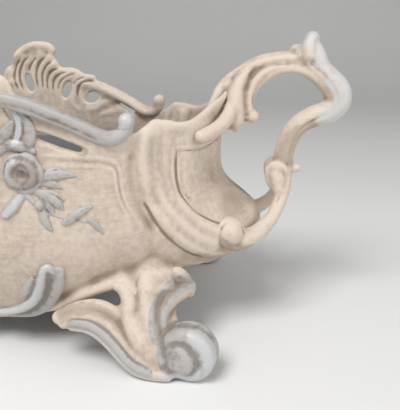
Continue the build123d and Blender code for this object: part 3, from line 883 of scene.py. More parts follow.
def casing_ring():
    """The four walls with crests, ribs and hem bands, cast as one skin."""
    ring = casting_of("front_panel")
    blanks = [casting_of(node) for node in (
        "rear_panel", "right_end_panel", "left_end_panel", "front_crest", "rear_crest")]
    corner = HEM_ROLLS + [(RIB_LINE, RIB_RADII), (RIM_LINE, [2.0] + [2.5] * 7),
                          (RIM_FILL, [1.6] + [2.4] * 5)]
    corner += [(on_wall(points, out), [radius] * len(points))
               for points, out, radius in RIB_SHELVES]
    extra = [roll(*each) for each in repeated(corner, FOUR_CORNERS)]
    rim = [(x, y + 3.4, z - 0.6) for x, y, z in SCROLL_LINE[:-3]]
    extra += [roll(*each) for each in repeated([(rim, [3.6] * len(rim))], FOUR_CORNERS)]
    plugs = repeated(on_front(PLUGS, -PLUG_SINK), FRONT_AND_REAR)
    extra += [roll(points, [reach] * 2, 1.4 / reach) for points, reach in plugs]
    ring = cast_together(ring, blanks + extra, carving().wall_voxel, smoothing=0,
                         fillet=WALL_FILLET)
    ribs = repeated(on_front(CREST_RIBS, -CREST_SINK), FRONT_AND_REAR)
    extra = [roll(*each) for each in ribs]
    for (x, z), reach in CREST_DOMES:
        for way in (1, -1):
            place = Vector(front(x, z, -CREST_SINK))
            extra.append(ball((place.x * way, place.y * way, z), reach, flat=0.4))
    ring = join(ring, extra)
    apply_modifier(ring, "REMESH", mode="VOXEL", voxel_size=carving().wall_voxel)
    punches = [drill(*each, way) for each in PIERCINGS for way in (1, -1)]
    punch = cast_together(punches[0], punches[1:], 0.5 * carving().voxel, smoothing=0)
    apply_modifier(ring, "BOOLEAN", object=punch, operation="DIFFERENCE", solver="EXACT")
    bpy.data.objects.remove(punch)
    return cast_together(ring, [], carving().wall_voxel, smoothing=3, fillet=EDGE_FILLET)


def carve_ring(ring):
    """Beads, grooves and incised lines of the walls, then hollows and lines of glaze and painted
    shade.
    """
    cut = on_wall(RIB_CUT, 1.2)
    strokes = repeated(
        on_front(FIELD_BEADS, 0.0)
        + [(cut, 1.5, -1.1), (RIB_DISH, 4.5, -0.6), (END_LINE, 1.2, -0.8),
           ([(x - 2.3, y - 0.6, z - 1.0) for x, y, z in END_LINE], 1.7, 0.4),
           (END_TOP, 1.2, -0.4), ([(x, y, z + 2.2) for x, y, z in END_TOP], 1.6, 0.4)],
        FOUR_CORNERS)
    chisel(ring, strokes)
    for way in (1, -1):
        lines = [([(x * way, z) for x, z in points], *rest) for points, *rest in CREST_CUTS]
        for look in (1.0, -1.0):
            chisel(ring, lines, facing=(0.0, look, 0.0), axes=(0, 2), half=-way)
    ripple(ring, carving().hand_waves, length=0.02, seed=3)
    store_hollows(ring)
    # Glaze lines on the walls: brown in the rib's cut and the incised lines, and painted shade
    # round the front slot and low on the end wall under its bulge.
    slot = on_front([([(48, 153.4), (62, 148), (77, 142.6)], 2.4, 5.0)], 0.0)
    low = [([(164, -28, 95), (169, -14, 90), (171, 0, 89)], 6.0, 20.0),
           ([(136, -52, 68), (150, -44, 64), (162, -32, 62)], 2.0, 11.0)]
    glaze_and_shade = [(cut, 0.3, 1.8), (END_LINE, 0.3, 1.7), (END_TOP, 0.1, 1.0)] + slot + low
    paint_along(ring, "glaze_and_shade", repeated(glaze_and_shade, FOUR_CORNERS))
    return ring


def cut_out(ring, name, sides):
    """The part of the ring on the inner side of each upright plane (point in mm, normal)."""
    piece = mesh_copy(ring, name)
    only(piece)
    bpy.ops.object.mode_set(mode="EDIT")
    for place, normal in sides:
        bpy.ops.mesh.select_all(action="SELECT")
        bpy.ops.mesh.bisect(plane_co=Vector(place) * MM, plane_no=normal, use_fill=True,
                            clear_outer=True)
        bpy.ops.mesh.mark_sharp()
    bpy.ops.object.mode_set(mode="OBJECT")
    return piece


def casing():
    """Front, rear and end walls, cut from one carved skin so that their seams match."""
    ring = carve_ring(casing_ring())
    right = ((SEAM_REACH, 0.0, 0.0), (1.0, 0.0, 0.0))
    left = ((-SEAM_REACH, 0.0, 0.0), (-1.0, 0.0, 0.0))
    for side, way in (("front", 1.0), ("rear", -1.0)):
        name = side + "_wall_cast"
        piece = cut_out(ring, name, [((0.0, 0.0, 0.0), (0.0, way, 0.0)), right, left])
        finished(piece, name, "cream_paint", "cream paint level", side + "_panel",
                 side + "_crest", side + "_right_corner_rib", side + "_left_corner_rib")
    for side, way in (("right", 1.0), ("left", -1.0)):
        name = side + "_end_cast"
        piece = cut_out(ring, name, [((way * SEAM_REACH, 0.0, 0.0), (-way, 0.0, 0.0))])
        finished(piece, name, "cream_paint", "cream paint upright", side + "_end_panel")
    bpy.data.objects.remove(ring)


SCROLL_LINE = [
    (27, -81.5, 175.2), (32.5, -81.4, 173.6), (39.6, -81.2, 172), (46.9, -80.6, 170),
    (55, -79.4, 166.8), (64.2, -77.8, 162.6), (70.8, -76.2, 159.6), (76.2, -74.8, 156.8),
    (85.1, -72, 151.8), (90.7, -70, 149.8), (96.3, -67.6, 150.4), (101.2, -65.2, 154),
    (101.6, -64.4, 159.3),
]
SCROLL_CREST = [
    (32, -85, 176.4), (46.5, -84.4, 172.8), (55, -83, 169.6), (64.8, -81.4, 165.2),
    (77, -78.2, 159.4), (86, -75.4, 154.6), (92, -73, 152.8),
]


def rim_scrolls():
    """The grey scroll on the rim with its hooked end, and its three twins."""
    stem = roll(SCROLL_LINE, [4.2, 4.7, 4.8, 4.9, 5.0, 5.0, 5.0, 5.0, 5.1, 5.2, 5.0, 4.6, 4.8])
    others = [ball((102.2, -64.6, 159.6), 5.6), roll(SCROLL_CREST, [1.6, 2, 2, 2, 2, 1.8, 1.2])]
    piece = cast_together(stem, others, carving().voxel, fillet=1.4)
    chisel(piece, [([(x, y - 1.5, z - 4.4) for x, y, z in SCROLL_CREST], 2.6, -0.7)])
    ripple(piece, carving().hand_waves, length=0.012, seed=8)
    store_hollows(piece)
    facing = normals(piece)
    store(piece, "grey", np.clip(0.75 - 1.6 * facing[:, 1], 0.0, 1.0))
    # Pearl along the scroll's top and on its hooked end: a painted highlight where the light falls
    # from above.
    top = [(x, y, z + 2.5) for x, y, z in SCROLL_LINE[1:8]] + [(101.5, -69, 160.5)]
    paint_along(piece, "pearl_and_highlight", [(top[:-1], 1.0, 3.4), (top[-1:] * 2, 3.0, 7.0)])
    finished_at_corners(piece, "rim_scroll", "grey_paint", "grey accents")


ROSE_PLACE = (41.4, 130)


def petals(radius, out, thickness, spans):
    """Curled petal edges as arcs about the rose's middle, from spans of degrees."""
    middle = front(*ROSE_PLACE)
    thin = 0.7 * thickness
    arcs = []
    for first, last in spans:
        steps = np.linspace(first, last, 5)
        points = wheel_points(middle, (0.0, -1.0, 0.0), radius, steps, out)
        arcs.append((points, [thin, thickness, thickness, thickness, thin]))
    return arcs


def dot(place, length=1.0):
    """A line in mm, short enough to stand for a place."""
    x, y, z = place
    return [place, (x + length, y, z)]


def roses():
    """An open rose with curled petals about a hollow bud, and its three twins."""
    middle = front(*ROSE_PLACE)
    arcs = petals(10.6, 1.6, 2.8, [(-25, 28), (38, 92), (102, 158), (168, 232), (242, 325)])
    arcs += petals(7.4, 4.6, 2.3, [(95, 262), (-70, 70)])
    arcs += petals(4.2, 4.4, 1.5, [(150, 330), (10, 120)])
    base = ball(front(*ROSE_PLACE, 0.5), 11.6, flat=0.34)
    piece = cast_together(base, [roll(*arc) for arc in arcs], 0.75 * carving().voxel,
                          smoothing=2, fillet=0.4)
    chisel(piece, [(dot(front(*ROSE_PLACE, 6.0)), 3.0, -2.4)])
    store_hollows(piece)
    paint_along(piece, "grey", [(dot(middle), 30.0, 31.0)])
    # Pearl on the left rim of the petals: a painted highlight where the light falls.
    rim = wheel_points(middle, (0.0, -1.0, 0.0), 8.0, range(120, 260, 20), 5.0)
    paint_along(piece, "pearl_and_highlight", [(rim, 1.5, 3.6)])
    # Glaze round the rose's heart: painted shade deep among the petals.
    paint_along(piece, "glaze_and_shade", [(dot(front(*ROSE_PLACE, 5.0), 2.0), 7.0, 13.0)])
    finished_at_corners(piece, "rose", "grey_paint", "grey accents")


# Numbers of the first lower leaf and of the hanging petal
LOWER_LEAVES = 3
HANGING_PETAL = 11
# Leaves of the spray as (x, z) places and half widths: curled leaf above the rose, its
# neighbours, the two lobed leaves on the right, hanging petals and buds
LEAVES = [
    ([(36.6, 170), (39.3, 166), (41, 160.7), (40.2, 154.5), (37.5, 148.5)],
     [1.8, 2.2, 2.6, 2.4, 1.8]),
    ([(43, 165), (46.2, 159), (46.8, 152), (44, 145)], [1.8, 3.2, 3.6, 2.6]),
    ([(29.4, 149.7), (33, 155), (36.7, 159.7)], [3, 3.4, 2.2]),
    ([(27.3, 143), (33, 146.6), (40.2, 145.6), (47, 143)], [2.6, 3.4, 3.8, 2.6]),
    ([(50, 124.5), (56, 127.5), (64, 129), (72, 128)], [2.8, 4, 3, 0.9]),
    ([(52, 125), (58, 123.6), (64, 121)], [2.6, 3, 0.9]),
    ([(53, 127), (58, 131), (62.5, 132.6)], [2.4, 2.4, 0.9]),
    ([(49, 119), (55, 116), (61, 112), (64.5, 108)], [2.6, 3.6, 3.4, 0.9]),
    ([(53, 115.5), (56.5, 110), (58.5, 105.6)], [2.8, 2.6, 0.9]),
    ([(54, 118.4), (60, 117), (65, 114)], [2.2, 2.2, 0.9]),
    ([(53.5, 116), (53, 111.5), (51.6, 106.5)], [2, 2.6, 2]),
    ([(38.5, 115), (34, 109.5), (29, 104.6)], [3, 3.8, 2.8]),
    ([(51, 111), (52.4, 104), (54.6, 98), (57, 95)], [2.2, 2.8, 2.4, 0.9]),
    ([(64.6, 99), (69.5, 102.4), (75, 106.4), (81, 109)], [1.6, 2.8, 2.6, 1.2]),
    ([(80, 100.6), (83.5, 96.6), (87.2, 91.6)], [1.8, 2, 0.9]),
]


def leaf_spray(leaves, stem):
    """Low leaves on their sunk stem."""
    piece = roll([front(x, z, -0.6) for x, z in stem], [2.0] * (len(stem) - 3) + [1.2] * 3)
    others = [roll(points, radii, flat=0.6) for points, radii in on_front(leaves, 0.5)]
    others.append(ball(front(50.5, 111, 1.4), 3.0))
    piece = cast_together(piece, others, 0.7 * carving().voxel, smoothing=2)
    chisel(piece, [(points, 0.9, -0.5) for points, _ in on_front(leaves, 1.6)])
    store_hollows(piece)
    paint_along(piece, "grey", [(points, 6.0, 7.0) for points, _ in on_front(leaves, 1.0)])
    # Pearl on the curled leaf and the hanging petal: partly pale paint, partly a painted highlight
    # on their ridges.
    curled, hanging = (on_front([LEAVES[number]], 3.0)[0][0] for number in (0, HANGING_PETAL))
    paint_along(piece, "pearl_and_highlight", [(curled, 1.4, 3.2), (hanging, 0.6, 4.4)])
    return piece


def leaf_sprays():
    """The leaves round the roses; two corners leave out the three above the rose."""
    stem = [(44, 162), (39.5, 152), (37.5, 140), (38.5, 124), (46, 113), (56, 105.5),
            (68, 101.5), (82, 98.5)]
    sprays = [("front_right", "rear_left", LEAVES, stem),
              ("front_left", "rear_right", LEAVES[LOWER_LEAVES:], stem[2:])]
    for side, opposite, leaves, spine in sprays:
        piece = leaf_spray(leaves, spine)
        if side == "front_left":
            piece.data.transform(MIRROR_X)
            edit_all(piece, bpy.ops.mesh.normals_make_consistent, inside=False)
        finished(piece, side + "_leaf_spray_cast", "grey_paint", "grey accents",
                 side + "_leaf_spray")
        copied(piece, opposite + "_leaf_spray_cast", HALF_TURN, "grey_paint",
               opposite + "_leaf_spray")


APRON_RIDGE = [
    (9, 28.6), (20, 31), (30.5, 36.2), (38.4, 44), (43.4, 53.4), (46.8, 62.2), (49.4, 68.6),
    (52.4, 69.4), (53.6, 65.6),
]
APRON_FLAT = [(15, 25.6), (31.7, 28.5), (42.8, 36.7), (50, 46.8), (54.6, 56.5), (57, 63.5)]
APRON_LEAVES = [
    (APRON_FLAT, [3, 4.2, 5, 5.4, 5.4, 4.2]),
    ([(54.5, 67), (58.5, 67), (62, 66.8)], [2.4, 2.2, 0.9]),
    ([(30, 46.5), (35.5, 53), (39.4, 61.5)], [3, 4, 1.6]),
    ([(49.5, 62), (53.5, 64.5)], [3, 3.4]),
]


def apron_scrolls():
    """The scroll low on a long wall: a ridge with pale paint and a painted highlight, grey flats
    beside it, and its twins.
    """
    piece = roll([front(x, z, 1.6) for x, z in APRON_RIDGE],
                 [2.6, 3.2, 3.6, 3.8, 3.5, 3.1, 2.7, 2.3, 1.6])
    flats = [roll(points, radii, flat=0.45) for points, radii in on_front(APRON_LEAVES, 0.5)]
    piece = cast_together(piece, flats, carving().voxel, fillet=0.6)
    store_hollows(piece)
    ridge = [front(x, z, 5.0) for x, z in APRON_RIDGE]
    paint_along(piece, "grey", [([front(x, z, 2.0) for x, z in APRON_FLAT], 20.0, 21.0)])
    # Pearl along the ridge: pale paint with a painted highlight on its lit edge.
    paint_along(piece, "pearl_and_highlight", [(ridge, 1.6, 4.2)])
    finished_at_corners(piece, "apron_scroll", "grey_paint", "grey accents")


FOOT_CENTRE = (142.2, -91.5, 18.4)
FOOT_FACING = (-0.25, -0.97, 0.0)
WHEEL_RADIUS = 18.4
DISC_RADIUS = 13.4


def wheel_points(centre, facing, radius, degrees, out):
    """Points on a circle that faces a direction, a distance out along it."""
    facing = Vector(facing).normalized()
    side = Vector((0.0, 0.0, 1.0)).cross(facing)
    middle = Vector(centre) + facing * out
    points = []
    for degree in degrees:
        angle = math.radians(degree)
        spoke = side * math.cos(angle) + Vector((0.0, 0.0, 1.0)) * math.sin(angle)
        points.append(tuple(middle + spoke * radius))
    return points


# The foot's body: leg, web between leg and leaf, web between leg and arm, arm's core
FOOT_BODY = [
    ([(110, -55, 58), (110.5, -60, 52), (111.5, -66.5, 45.5), (113.5, -73.5, 37.5),
      (116.5, -80.5, 29), (121, -87, 20.5), (127, -91, 14.5)], [8, 9, 9.6, 9.8, 10.2, 10.5, 10]),
    ([(120, -50, 54), (121, -57, 47.5), (122.5, -64, 40), (125, -73, 32), (130, -84, 24)],
     [7.5, 8, 7.6, 7.2, 7.5]),
    ([(99, -78.5, 38), (104, -83, 32), (110, -87, 24), (119, -90, 16)], [5.4, 7.8, 9.2, 9]),
    ([(62, -79, 34), (76, -81, 36), (88, -83, 31), (98, -87, 21), (109, -91, 11.8), (121, -93, 8.4),
      (134, -94, 8.4)], [5, 6.5, 7, 7, 6.8, 7.5, 7.5]),
]
# What lies on it: bright ridge, a second fold, leaf on the right and its top, upper fold of
# the arm, its broad band, grey band, lip
FOOT_ROLLS = [
    ([(92.5, -71.5, 52.5), (97.8, -72.5, 50), (101, -76, 44.6), (102.6, -80.5, 37.6),
      (105.5, -85, 29.6), (110, -89, 20.5)], [3.8, 5.2, 5.2, 4.6, 3.6, 2.4]),
    ([(108, -68.5, 52), (110.5, -70.5, 48.5), (112, -74, 43.5), (112.8, -79, 36)],
     [1.6, 2.6, 2.8, 2.2]),
    ([(125.6, -90, 25), (124.8, -86.5, 31.5), (124.6, -80, 37.8), (126.5, -74, 41.6),
      (129, -68, 43), (133.4, -60.5, 43.8), (138.4, -53, 44.6)],
     [2.6, 2.8, 3.8, 4.8, 5.4, 5.8, 5.2]),
    ([(136.5, -51.5, 49), (129, -50.5, 53.5), (121, -51, 56)], [4.4, 5.6, 6.4]),
    ([(55, -80, 33), (64, -80.5, 38.4), (73, -81, 41.4), (81.5, -81, 42.2), (89.5, -81.5, 39.6),
      (96.5, -83, 34), (103, -86, 26)], [4.2, 4.4, 4.5, 4.5, 4.5, 4.4, 4.2]),
    ([(60, -83, 34), (70, -85, 37.4), (80, -86, 37.4), (89, -87, 33.4), (97, -89.5, 26),
      (105, -92, 18), (114, -94, 11.5), (123, -95, 9)], [3.4, 3.8, 4, 4.2, 4.4, 4.8, 5.4, 6]),
    ([(63, -85.5, 31.5), (71, -88, 33.6), (80, -89.5, 32.4), (89, -91.5, 26.8), (97, -94, 19),
      (105, -96.5, 11.2), (115, -98.5, 7), (127, -99.5, 6)],
     [2.8, 3.4, 3.6, 3.6, 3.6, 3.6, 3.8, 4]),
    ([(67, -86, 27.8), (76, -88, 28.2), (84, -89.5, 24.2), (92, -92, 17.6), (99.5, -94.5, 10.6),
      (107, -96.5, 5.4), (116, -98, 3.6), (129, -99, 3.6)], [2, 2.4, 2.4, 2.5, 2.6, 2.8, 3, 3.2]),
]
FOOT_BALLS = [
    ((55.5, -81, 33), 5), ((59, -83, 29.6), 3.8), ((64.8, -85, 28.2), 2.8), ((138.8, -54, 40.8), 4),
]
GREY_BAND = [
    (66, -90, 32), (72, -91.5, 34), (81, -93, 32.6), (90, -95, 27), (98, -97.5, 19.2),
    (106, -100, 11.5), (116, -102, 7.5),
]
GREY_LEAF = [
    (123, -91, 27), (122, -88, 33), (121.6, -83, 39), (123.6, -77, 44.5), (127, -70, 47.6),
    (132.5, -62, 49.4), (139, -54, 49.6),
]
PALE_LIP = [
    (67, -89, 26.6), (76, -91, 27), (84, -92.5, 23), (92, -95, 16.4), (99.5, -97.5, 9.2),
    (107, -99.5, 4), (118, -101, 2.2), (132, -102, 1.5),
]
# Lines of glaze and painted shade in the foot's folds: points, inner and outer distance in mm.
FOOT_GLAZE_AND_SHADE = [
    ([(58, -83, 37), (72, -85, 42), (82, -86, 42), (90, -86, 38), (98, -88, 30), (107, -91, 20)],
     3, 8),
    ([(114, -73, 46), (116, -79, 37), (118, -86, 27), (121, -92, 17)], 3, 9),
    (GREY_LEAF, 2, 7.5),
]
FOOT_CUTS = [
    ([(64, -87, 35.4), (72, -89.5, 36.6), (81, -90.6, 35.8), (90, -92, 30.6), (98, -94.5, 22.8),
      (106, -97, 14.8), (116, -99.5, 10)], 1.8, -0.7),
    ([(68, -88, 29.8), (76, -90.4, 30.6), (84, -92, 26.8), (92, -94.4, 20), (99.5, -97, 12.6),
      (107, -99, 6.8)], 1.6, -0.5),
    ([(104.6, -72, 52), (106.4, -77, 44), (108, -82, 36), (111, -88, 27)], 1.6, -0.5),
    ([(136, -106, 17), (140, -106, 10), (139, -104, 1)], 2.8, -1),
    ([(147, -105, 19), (150.6, -104, 12), (151, -102, 3)], 2.8, -1),
]


def feet():
    """The scroll foot with the bar that the floor plate is screwed to, and its three twins."""
    bar = roll([(122.6, -62.1, 50.0), (102.0, -36.0, 50.0)], [8.0, 8.0], flat=0.36,
               facing=(0.0, 0.0, 1.0))
    body = cast_together(bar, [roll(*each) for each in FOOT_BODY], carving().voxel,
                         smoothing=0, fillet=5.0)
    pieces = [roll(*each) for each in FOOT_ROLLS] + [ball(*each) for each in FOOT_BALLS]
    pieces.append(ball(FOOT_CENTRE, WHEEL_RADIUS, 0.62, FOOT_FACING))
    for out in (-4.5, 4.0):
        turns = wheel_points(FOOT_CENTRE, FOOT_FACING, 12.8, range(-100, 181, 28), out)
        pieces.append(roll(turns, [5.6] * len(turns)))
    disc = wheel_points(FOOT_CENTRE, FOOT_FACING, 4.4, [-150], 6.4)[0]
    pieces.append(ball(disc, DISC_RADIUS, 0.54, FOOT_FACING))
    piece = cast_together(body, pieces, carving().voxel, smoothing=5, fillet=1.5)
    spiral = wheel_points(disc, FOOT_FACING, 12.4, range(-60, 120, 15), 4.8)
    chisel(piece, FOOT_CUTS + [(spiral, 4.0, -0.45)])
    spots = coordinates(piece)
    spots[:, 2] = np.maximum(spots[:, 2], 0.0)
    set_coordinates(piece, spots)
    ripple(piece, 0.6 * carving().hand_waves, length=0.02, seed=4)
    store_hollows(piece)
    band = wheel_points(FOOT_CENTRE, FOOT_FACING, 16.6, range(-80, 80, 16), 6.0)
    paint_along(piece, "grey", [(GREY_BAND, 3.0, 5.5), (GREY_LEAF, 4.5, 8.0),
                                (dot(FOOT_CENTRE), 20.0, 22.5)])
    paint_along(piece, "pearl_and_highlight", [(PALE_LIP, 2.0, 5.0), (band, 4.0, 9.0),
                                 ([(128, -103, 4), (140, -102, 3)], 2.0, 7.0)])
    # Glaze in the arm's fold, the leg's crease and along the grey leaf: partly glaze, partly
    # painted shade.
    paint_along(piece, "glaze_and_shade", FOOT_GLAZE_AND_SHADE)
    finished_at_corners(piece, "foot", "cream_paint", "cream paint upright")


# The handle's middle: arch and S stroke, underside of the arch's root, horn, the horn's leaf
# and the nub at the collar
HANDLE_MIDDLE = [
    ([(158, 0, 166), (162, 0, 173), (167, 0, 179), (174, 0, 185), (182, 0, 189.5), (191, 0, 192),
      (204, 0, 193.2), (218, 0, 190.5), (231.5, 0, 181.5), (240, 0, 168), (234, 0, 159.5),
      (222, 0, 155), (211.5, 0, 147.5), (206, 0, 137), (203.5, 0, 126), (203, 0, 116)],
     [5, 6.5, 7.2, 7.3, 7.2, 7.2, 7.2, 8.2, 9.2, 9.6, 8.8, 7.8, 7.4, 7.4, 7.4, 6.8]),
    ([(166, 0, 179), (171, 0, 170), (174, 0, 162), (176, 0, 156)], [7, 7.5, 6.5, 5]),
    ([(225, 0, 188), (221.5, 0, 197), (218.8, 0, 204.5), (219, 0, 208.4)], [8.4, 8.2, 6.8, 5.3]),
    ([(218.5, -3.5, 208.6), (216.5, -5, 203), (216.8, -6, 197.5)], [3.8, 4.8, 4.8]),
    ([(207, 0, 120), (213.6, 0, 117.6)], [3, 3.4]),
]
# Its near half: outer rib of the arch, inner band, bright ridge, root arm, hanging leaf, the
# fill behind it, lower strand, collar lip, collar flank and the band that wraps the curl
HANDLE_RIBS = [
    ([(149, -21, 161), (152.5, -15, 166.5), (156, -9, 173.5), (162, -6, 180.5), (170, -5, 186.5),
      (180, -4.5, 191), (192, -4.5, 194), (204, -4.5, 195.5), (213, -4, 195)],
     [2.4, 3, 3.8, 3.8, 3.6, 3.4, 3.4, 3.2, 2.8]),
    ([(178.5, -4, 158), (177.6, -4, 166), (179.6, -4.5, 173.5), (184.5, -5, 180),
      (192, -5.5, 185.5), (200, -5.5, 188.3), (209, -5.5, 188.5), (218, -5.5, 185.5),
      (227, -4.5, 179), (234, -3.5, 172)], [3.4] * 8 + [3.2, 3.2]),
    ([(200, -7.6, 191), (190, -7.8, 187.8), (182.5, -8.2, 182), (178.3, -8.6, 174.5),
      (176.6, -8.8, 167), (177.5, -8.5, 160)], [1.4, 1.8, 2.2, 2.4, 2.8, 3.4]),
    ([(146, -47.5, 148), (149.5, -44, 148.8), (155, -37, 151.2), (160, -29, 154.5),
      (163, -22, 158.5), (165, -16, 164)], [4.2, 4.6, 4.8, 5, 5, 4.6]),
    ([(178, -8, 191), (172.5, -10, 184), (168.3, -12, 175), (167.2, -13.5, 166.5),
      (167.4, -14.5, 159.5), (168.7, -15, 152.5), (168.6, -14.5, 149)],
     [1.6, 3.4, 5.2, 6.2, 6.7, 5.4, 3.2]),
    ([(163, -7, 177), (168, -8, 168), (171, -8, 160)], [5.5, 6, 5.5]),
    ([(203.5, -3, 116), (204, -6.5, 107.5), (202.2, -12, 99), (199, -18, 91.8),
      (194.5, -23.5, 85.2), (188.5, -28, 79.5), (182, -32, 75.5), (175, -36, 74)],
     [6.7, 5.8, 5.2, 5, 5.2, 5.8, 6.6, 7.4]),
    ([(192.3, -8, 118), (195, -9, 121.8), (200, -9.5, 121.6), (204.6, -8.5, 118.3),
      (207, -7.5, 111)], [2.4, 2.4, 2.4, 2.2, 1.4]),
    ([(192.3, -8, 118.5), (193.5, -8.5, 110), (197.5, -10, 102)], [2.8, 2.8, 1.8]),
    ([(197.5, -7, 119.5), (198.5, -8.6, 112), (201, -11, 103)], [5, 5.8, 4.8]),
    ([(188, -29, 78.5), (181.5, -33, 74), (174.5, -37.5, 71), (167, -41.5, 71.5),
      (161.5, -44, 75.5), (159.5, -45, 81)], [5.2, 5, 4.6, 4, 3.2, 2.2]),
]
CURL_ANGLE = 35.8
CURL_HEIGHT = 80.0
CURL_RADIUS = 10.9
HANDLE_LOBES = [((164.5, -12.5, 150.5), 3.6), ((180, -7.5, 156), 4.8)]
# Lines of pearl paint on the arch's outer edge and band, partly as painted highlights.
PEARL_AND_HIGHLIGHT_EDGE = [
    (216, -8, 198), (221, -8, 190.5), (226.5, -9, 186), (231, -9.5, 181), (235.5, -10, 175),
    (238, -10, 168.5), (237, -10, 163), (233, -9, 159),
]
PEARL_AND_HIGHLIGHT_BAND = [
    (218.5, 0, 211), (218.5, 0, 203), (224, 0, 195), (232, 0, 189), (238.5, 0, 182), (243, 0, 174),
    (243, 0, 167), (239, 0, 160.5), (231, 0, 155.5),
]
# Lines of glaze and painted shade: along the S stroke and on the lower left of the curl.
HANDLE_GLAZE_AND_SHADE = [
    ([(222, -2, 152), (212, -3, 146), (206, -3, 136), (203, -3, 124)], 4.5, 9.5),
    ([(157, -44, 78), (161, -46, 72), (168, -44, 68), (178, -36, 69)], 4, 10),
]
HANDLE_CUTS = [
    (PEARL_AND_HIGHLIGHT_EDGE, 2.2, -0.7),
    ([(236, -7, 160), (226, -7.5, 155.5), (217.5, -8, 150), (211.5, -8, 142.5), (208.8, -8, 133),
      (207.5, -8, 125)], 2.6, -0.8),
    ([(201, -16, 102), (198.5, -20, 95), (194.5, -25.5, 88), (189.5, -30, 82)], 2, -0.7),
    ([(159, -13, 172), (164, -14, 180), (171, -12, 187), (181, -10, 190.4), (193, -9.5, 191.5),
      (206, -9, 192)], 1.8, -0.9),
    ([(172, -20, 178), (173.6, -20, 168), (174.4, -20, 158)], 1.8, -0.7),
]


def handles():
    """The loop handle of the right end and its twin."""
    blank = ball((240.0, 0.0, 168.0), 9.0)
    pieces = [roll(*each) for each in repeated(HANDLE_RIBS, NEAR_AND_FAR) + HANDLE_MIDDLE]
    grooves = []
    for side in (-1, 1):
        curl = end(side * CURL_ANGLE, CURL_HEIGHT, 3.2)
        out = (curl[0] - SEAM_REACH, curl[1], 0.0)
        pieces.append(ball(curl, CURL_RADIUS, facing=out))
        rim = wheel_points(curl, (0.3, side, 0.25), 8.4, range(-250, 61, 24), 5.6)
        grooves.append((rim, 2.4, -1.3))
        pieces += [ball((x, -side * y, z), radius) for (x, y, z), radius in HANDLE_LOBES]
    pieces.append(ball((209.5, 4.0, 200.8), 4.8))
    pieces.append(ball((213.5, -1.5, 197.0), 6.4))
    piece = cast_together(blank, pieces, carving().voxel, smoothing=3, fillet=1.5)
    chisel(piece, repeated(HANDLE_CUTS, NEAR_AND_FAR) + grooves)
    ripple(piece, 0.6 * carving().hand_waves, length=0.02, seed=5)
    store_hollows(piece)
    # Pearl on the outer band and edge: pale paint with painted highlights.
    paint_along(piece, "pearl_and_highlight", [(PEARL_AND_HIGHLIGHT_BAND, 7.0, 13.0), (PEARL_AND_HIGHLIGHT_EDGE[3:], 1.5, 4.5)])
    paint_along(piece, "glaze_and_shade", repeated(HANDLE_GLAZE_AND_SHADE, NEAR_AND_FAR))
    finished(piece, "right_handle_cast", "cream_paint", "cream paint upright", "right_handle")
    copied(piece, "left_handle_cast", HALF_TURN, "cream_paint", "left_handle")


def liner_and_fittings():
    """Better finishes for the liner, its bails, the floor plate, the screws and the nuts."""
    finishes = {
        "zinc sheet": ("liner", "floor_plate"),
        "galvanised wire": ("right_bail", "left_bail"),
        "plated steel": ("foot_screws", "foot_nuts", "right_handle_screws",
                         "left_handle_screws"),
    }
    for paint, nodes in finishes.items():
        for node in nodes:
            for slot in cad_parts[node].material_slots:
                slot.material = material(paint)


def stage():
    """Floor, surround, lamps and the photograph's viewpoint."""
    bpy.context.scene.view_settings.view_transform = "Standard"
    floor_and_backdrop()
    studio_world()
    soft_light("window", (-0.3, -0.9, 1.45), aim=(0.1, 0.0, 0.1), size=0.8, power=21.0)
    soft_light("fill", (1.4, -0.9, 0.8), aim=(0.1, 0.0, 0.1), size=1.2, power=10.0)
    camera()


# Add-on


class JARDINIERE_OT_casing(bpy.types.Operator):
    """Carve the walls, the crests and the corner ribs"""

    bl_idname = "jardiniere.casing"
    bl_label = "Casing"

    def execute(self, context):
        casing()
        return {"FINISHED"}


class JARDINIERE_OT_rim_scrolls(bpy.types.Operator):
    """Model the grey scrolls on the rim"""

    bl_idname = "jardiniere.rim_scrolls"
    bl_label = "Rim scrolls"

    def execute(self, context):
        rim_scrolls()
        return {"FINISHED"}


class JARDINIERE_OT_roses(bpy.types.Operator):
    """Model the roses"""

    bl_idname = "jardiniere.roses"
    bl_label = "Roses"

    def execute(self, context):
        roses()
        return {"FINISHED"}


class JARDINIERE_OT_leaf_sprays(bpy.types.Operator):
    """Model the leaves round the roses"""

    bl_idname = "jardiniere.leaf_sprays"
    bl_label = "Leaf sprays"

    def execute(self, context):
        leaf_sprays()
        return {"FINISHED"}


class JARDINIERE_OT_apron_scrolls(bpy.types.Operator):
    """Model the scrolls low on the long walls"""

    bl_idname = "jardiniere.apron_scrolls"
    bl_label = "Apron scrolls"

    def execute(self, context):
        apron_scrolls()
        return {"FINISHED"}


class JARDINIERE_OT_feet(bpy.types.Operator):
    """Model the scroll feet"""

    bl_idname = "jardiniere.feet"
    bl_label = "Feet"

    def execute(self, context):
        feet()
        return {"FINISHED"}


class JARDINIERE_OT_handles(bpy.types.Operator):
    """Model the loop handles"""

    bl_idname = "jardiniere.handles"
    bl_label = "Handles"

    def execute(self, context):
        handles()
        return {"FINISHED"}


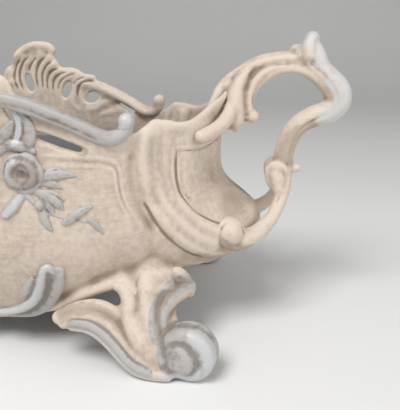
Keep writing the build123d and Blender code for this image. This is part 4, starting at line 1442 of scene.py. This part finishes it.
class JARDINIERE_OT_liner_and_fittings(bpy.types.Operator):
    """Finish the liner, its bails, the floor plate, the screws and the nuts"""

    bl_idname = "jardiniere.liner_and_fittings"
    bl_label = "Liner and fittings"

    def execute(self, context):
        liner_and_fittings()
        return {"FINISHED"}


class JARDINIERE_OT_stage(bpy.types.Operator):
    """Set the floor, the light and the camera"""

    bl_idname = "jardiniere.stage"
    bl_label = "Stage"

    def execute(self, context):
        stage()
        return {"FINISHED"}


OPERATORS = (
    JARDINIERE_OT_casing,
    JARDINIERE_OT_rim_scrolls,
    JARDINIERE_OT_roses,
    JARDINIERE_OT_leaf_sprays,
    JARDINIERE_OT_apron_scrolls,
    JARDINIERE_OT_feet,
    JARDINIERE_OT_handles,
    JARDINIERE_OT_liner_and_fittings,
    JARDINIERE_OT_stage,
)


class JARDINIERE_PT_pieces(bpy.types.Panel):
    """Sizes, colours and the pieces of the jardiniere"""

    bl_label = "Jardiniere"
    bl_space_type = "VIEW_3D"
    bl_region_type = "UI"
    bl_category = "Jardiniere"

    def draw(self, context):
        column = self.layout.column()
        for settings in (carving(), paints()):
            for name in settings.__annotations__:
                column.prop(settings, name)
        for operator in OPERATORS:
            column.operator(operator.bl_idname)


CLASSES = (CarvingSizes, PaintColours, *OPERATORS, JARDINIERE_PT_pieces)


def register():
    for each in CLASSES:
        bpy.utils.register_class(each)
    bpy.types.Scene.jardiniere_carving = PointerProperty(type=CarvingSizes)
    bpy.types.Scene.jardiniere_paints = PointerProperty(type=PaintColours)


def unregister():
    del bpy.types.Scene.jardiniere_paints
    del bpy.types.Scene.jardiniere_carving
    for each in reversed(CLASSES):
        bpy.utils.unregister_class(each)


def main():
    register()
    bpy.ops.jardiniere.casing()
    bpy.ops.jardiniere.rim_scrolls()
    bpy.ops.jardiniere.roses()
    bpy.ops.jardiniere.leaf_sprays()
    bpy.ops.jardiniere.apron_scrolls()
    bpy.ops.jardiniere.feet()
    bpy.ops.jardiniere.handles()
    bpy.ops.jardiniere.liner_and_fittings()
    bpy.ops.jardiniere.stage()


if __name__ == "__main__":
    main()
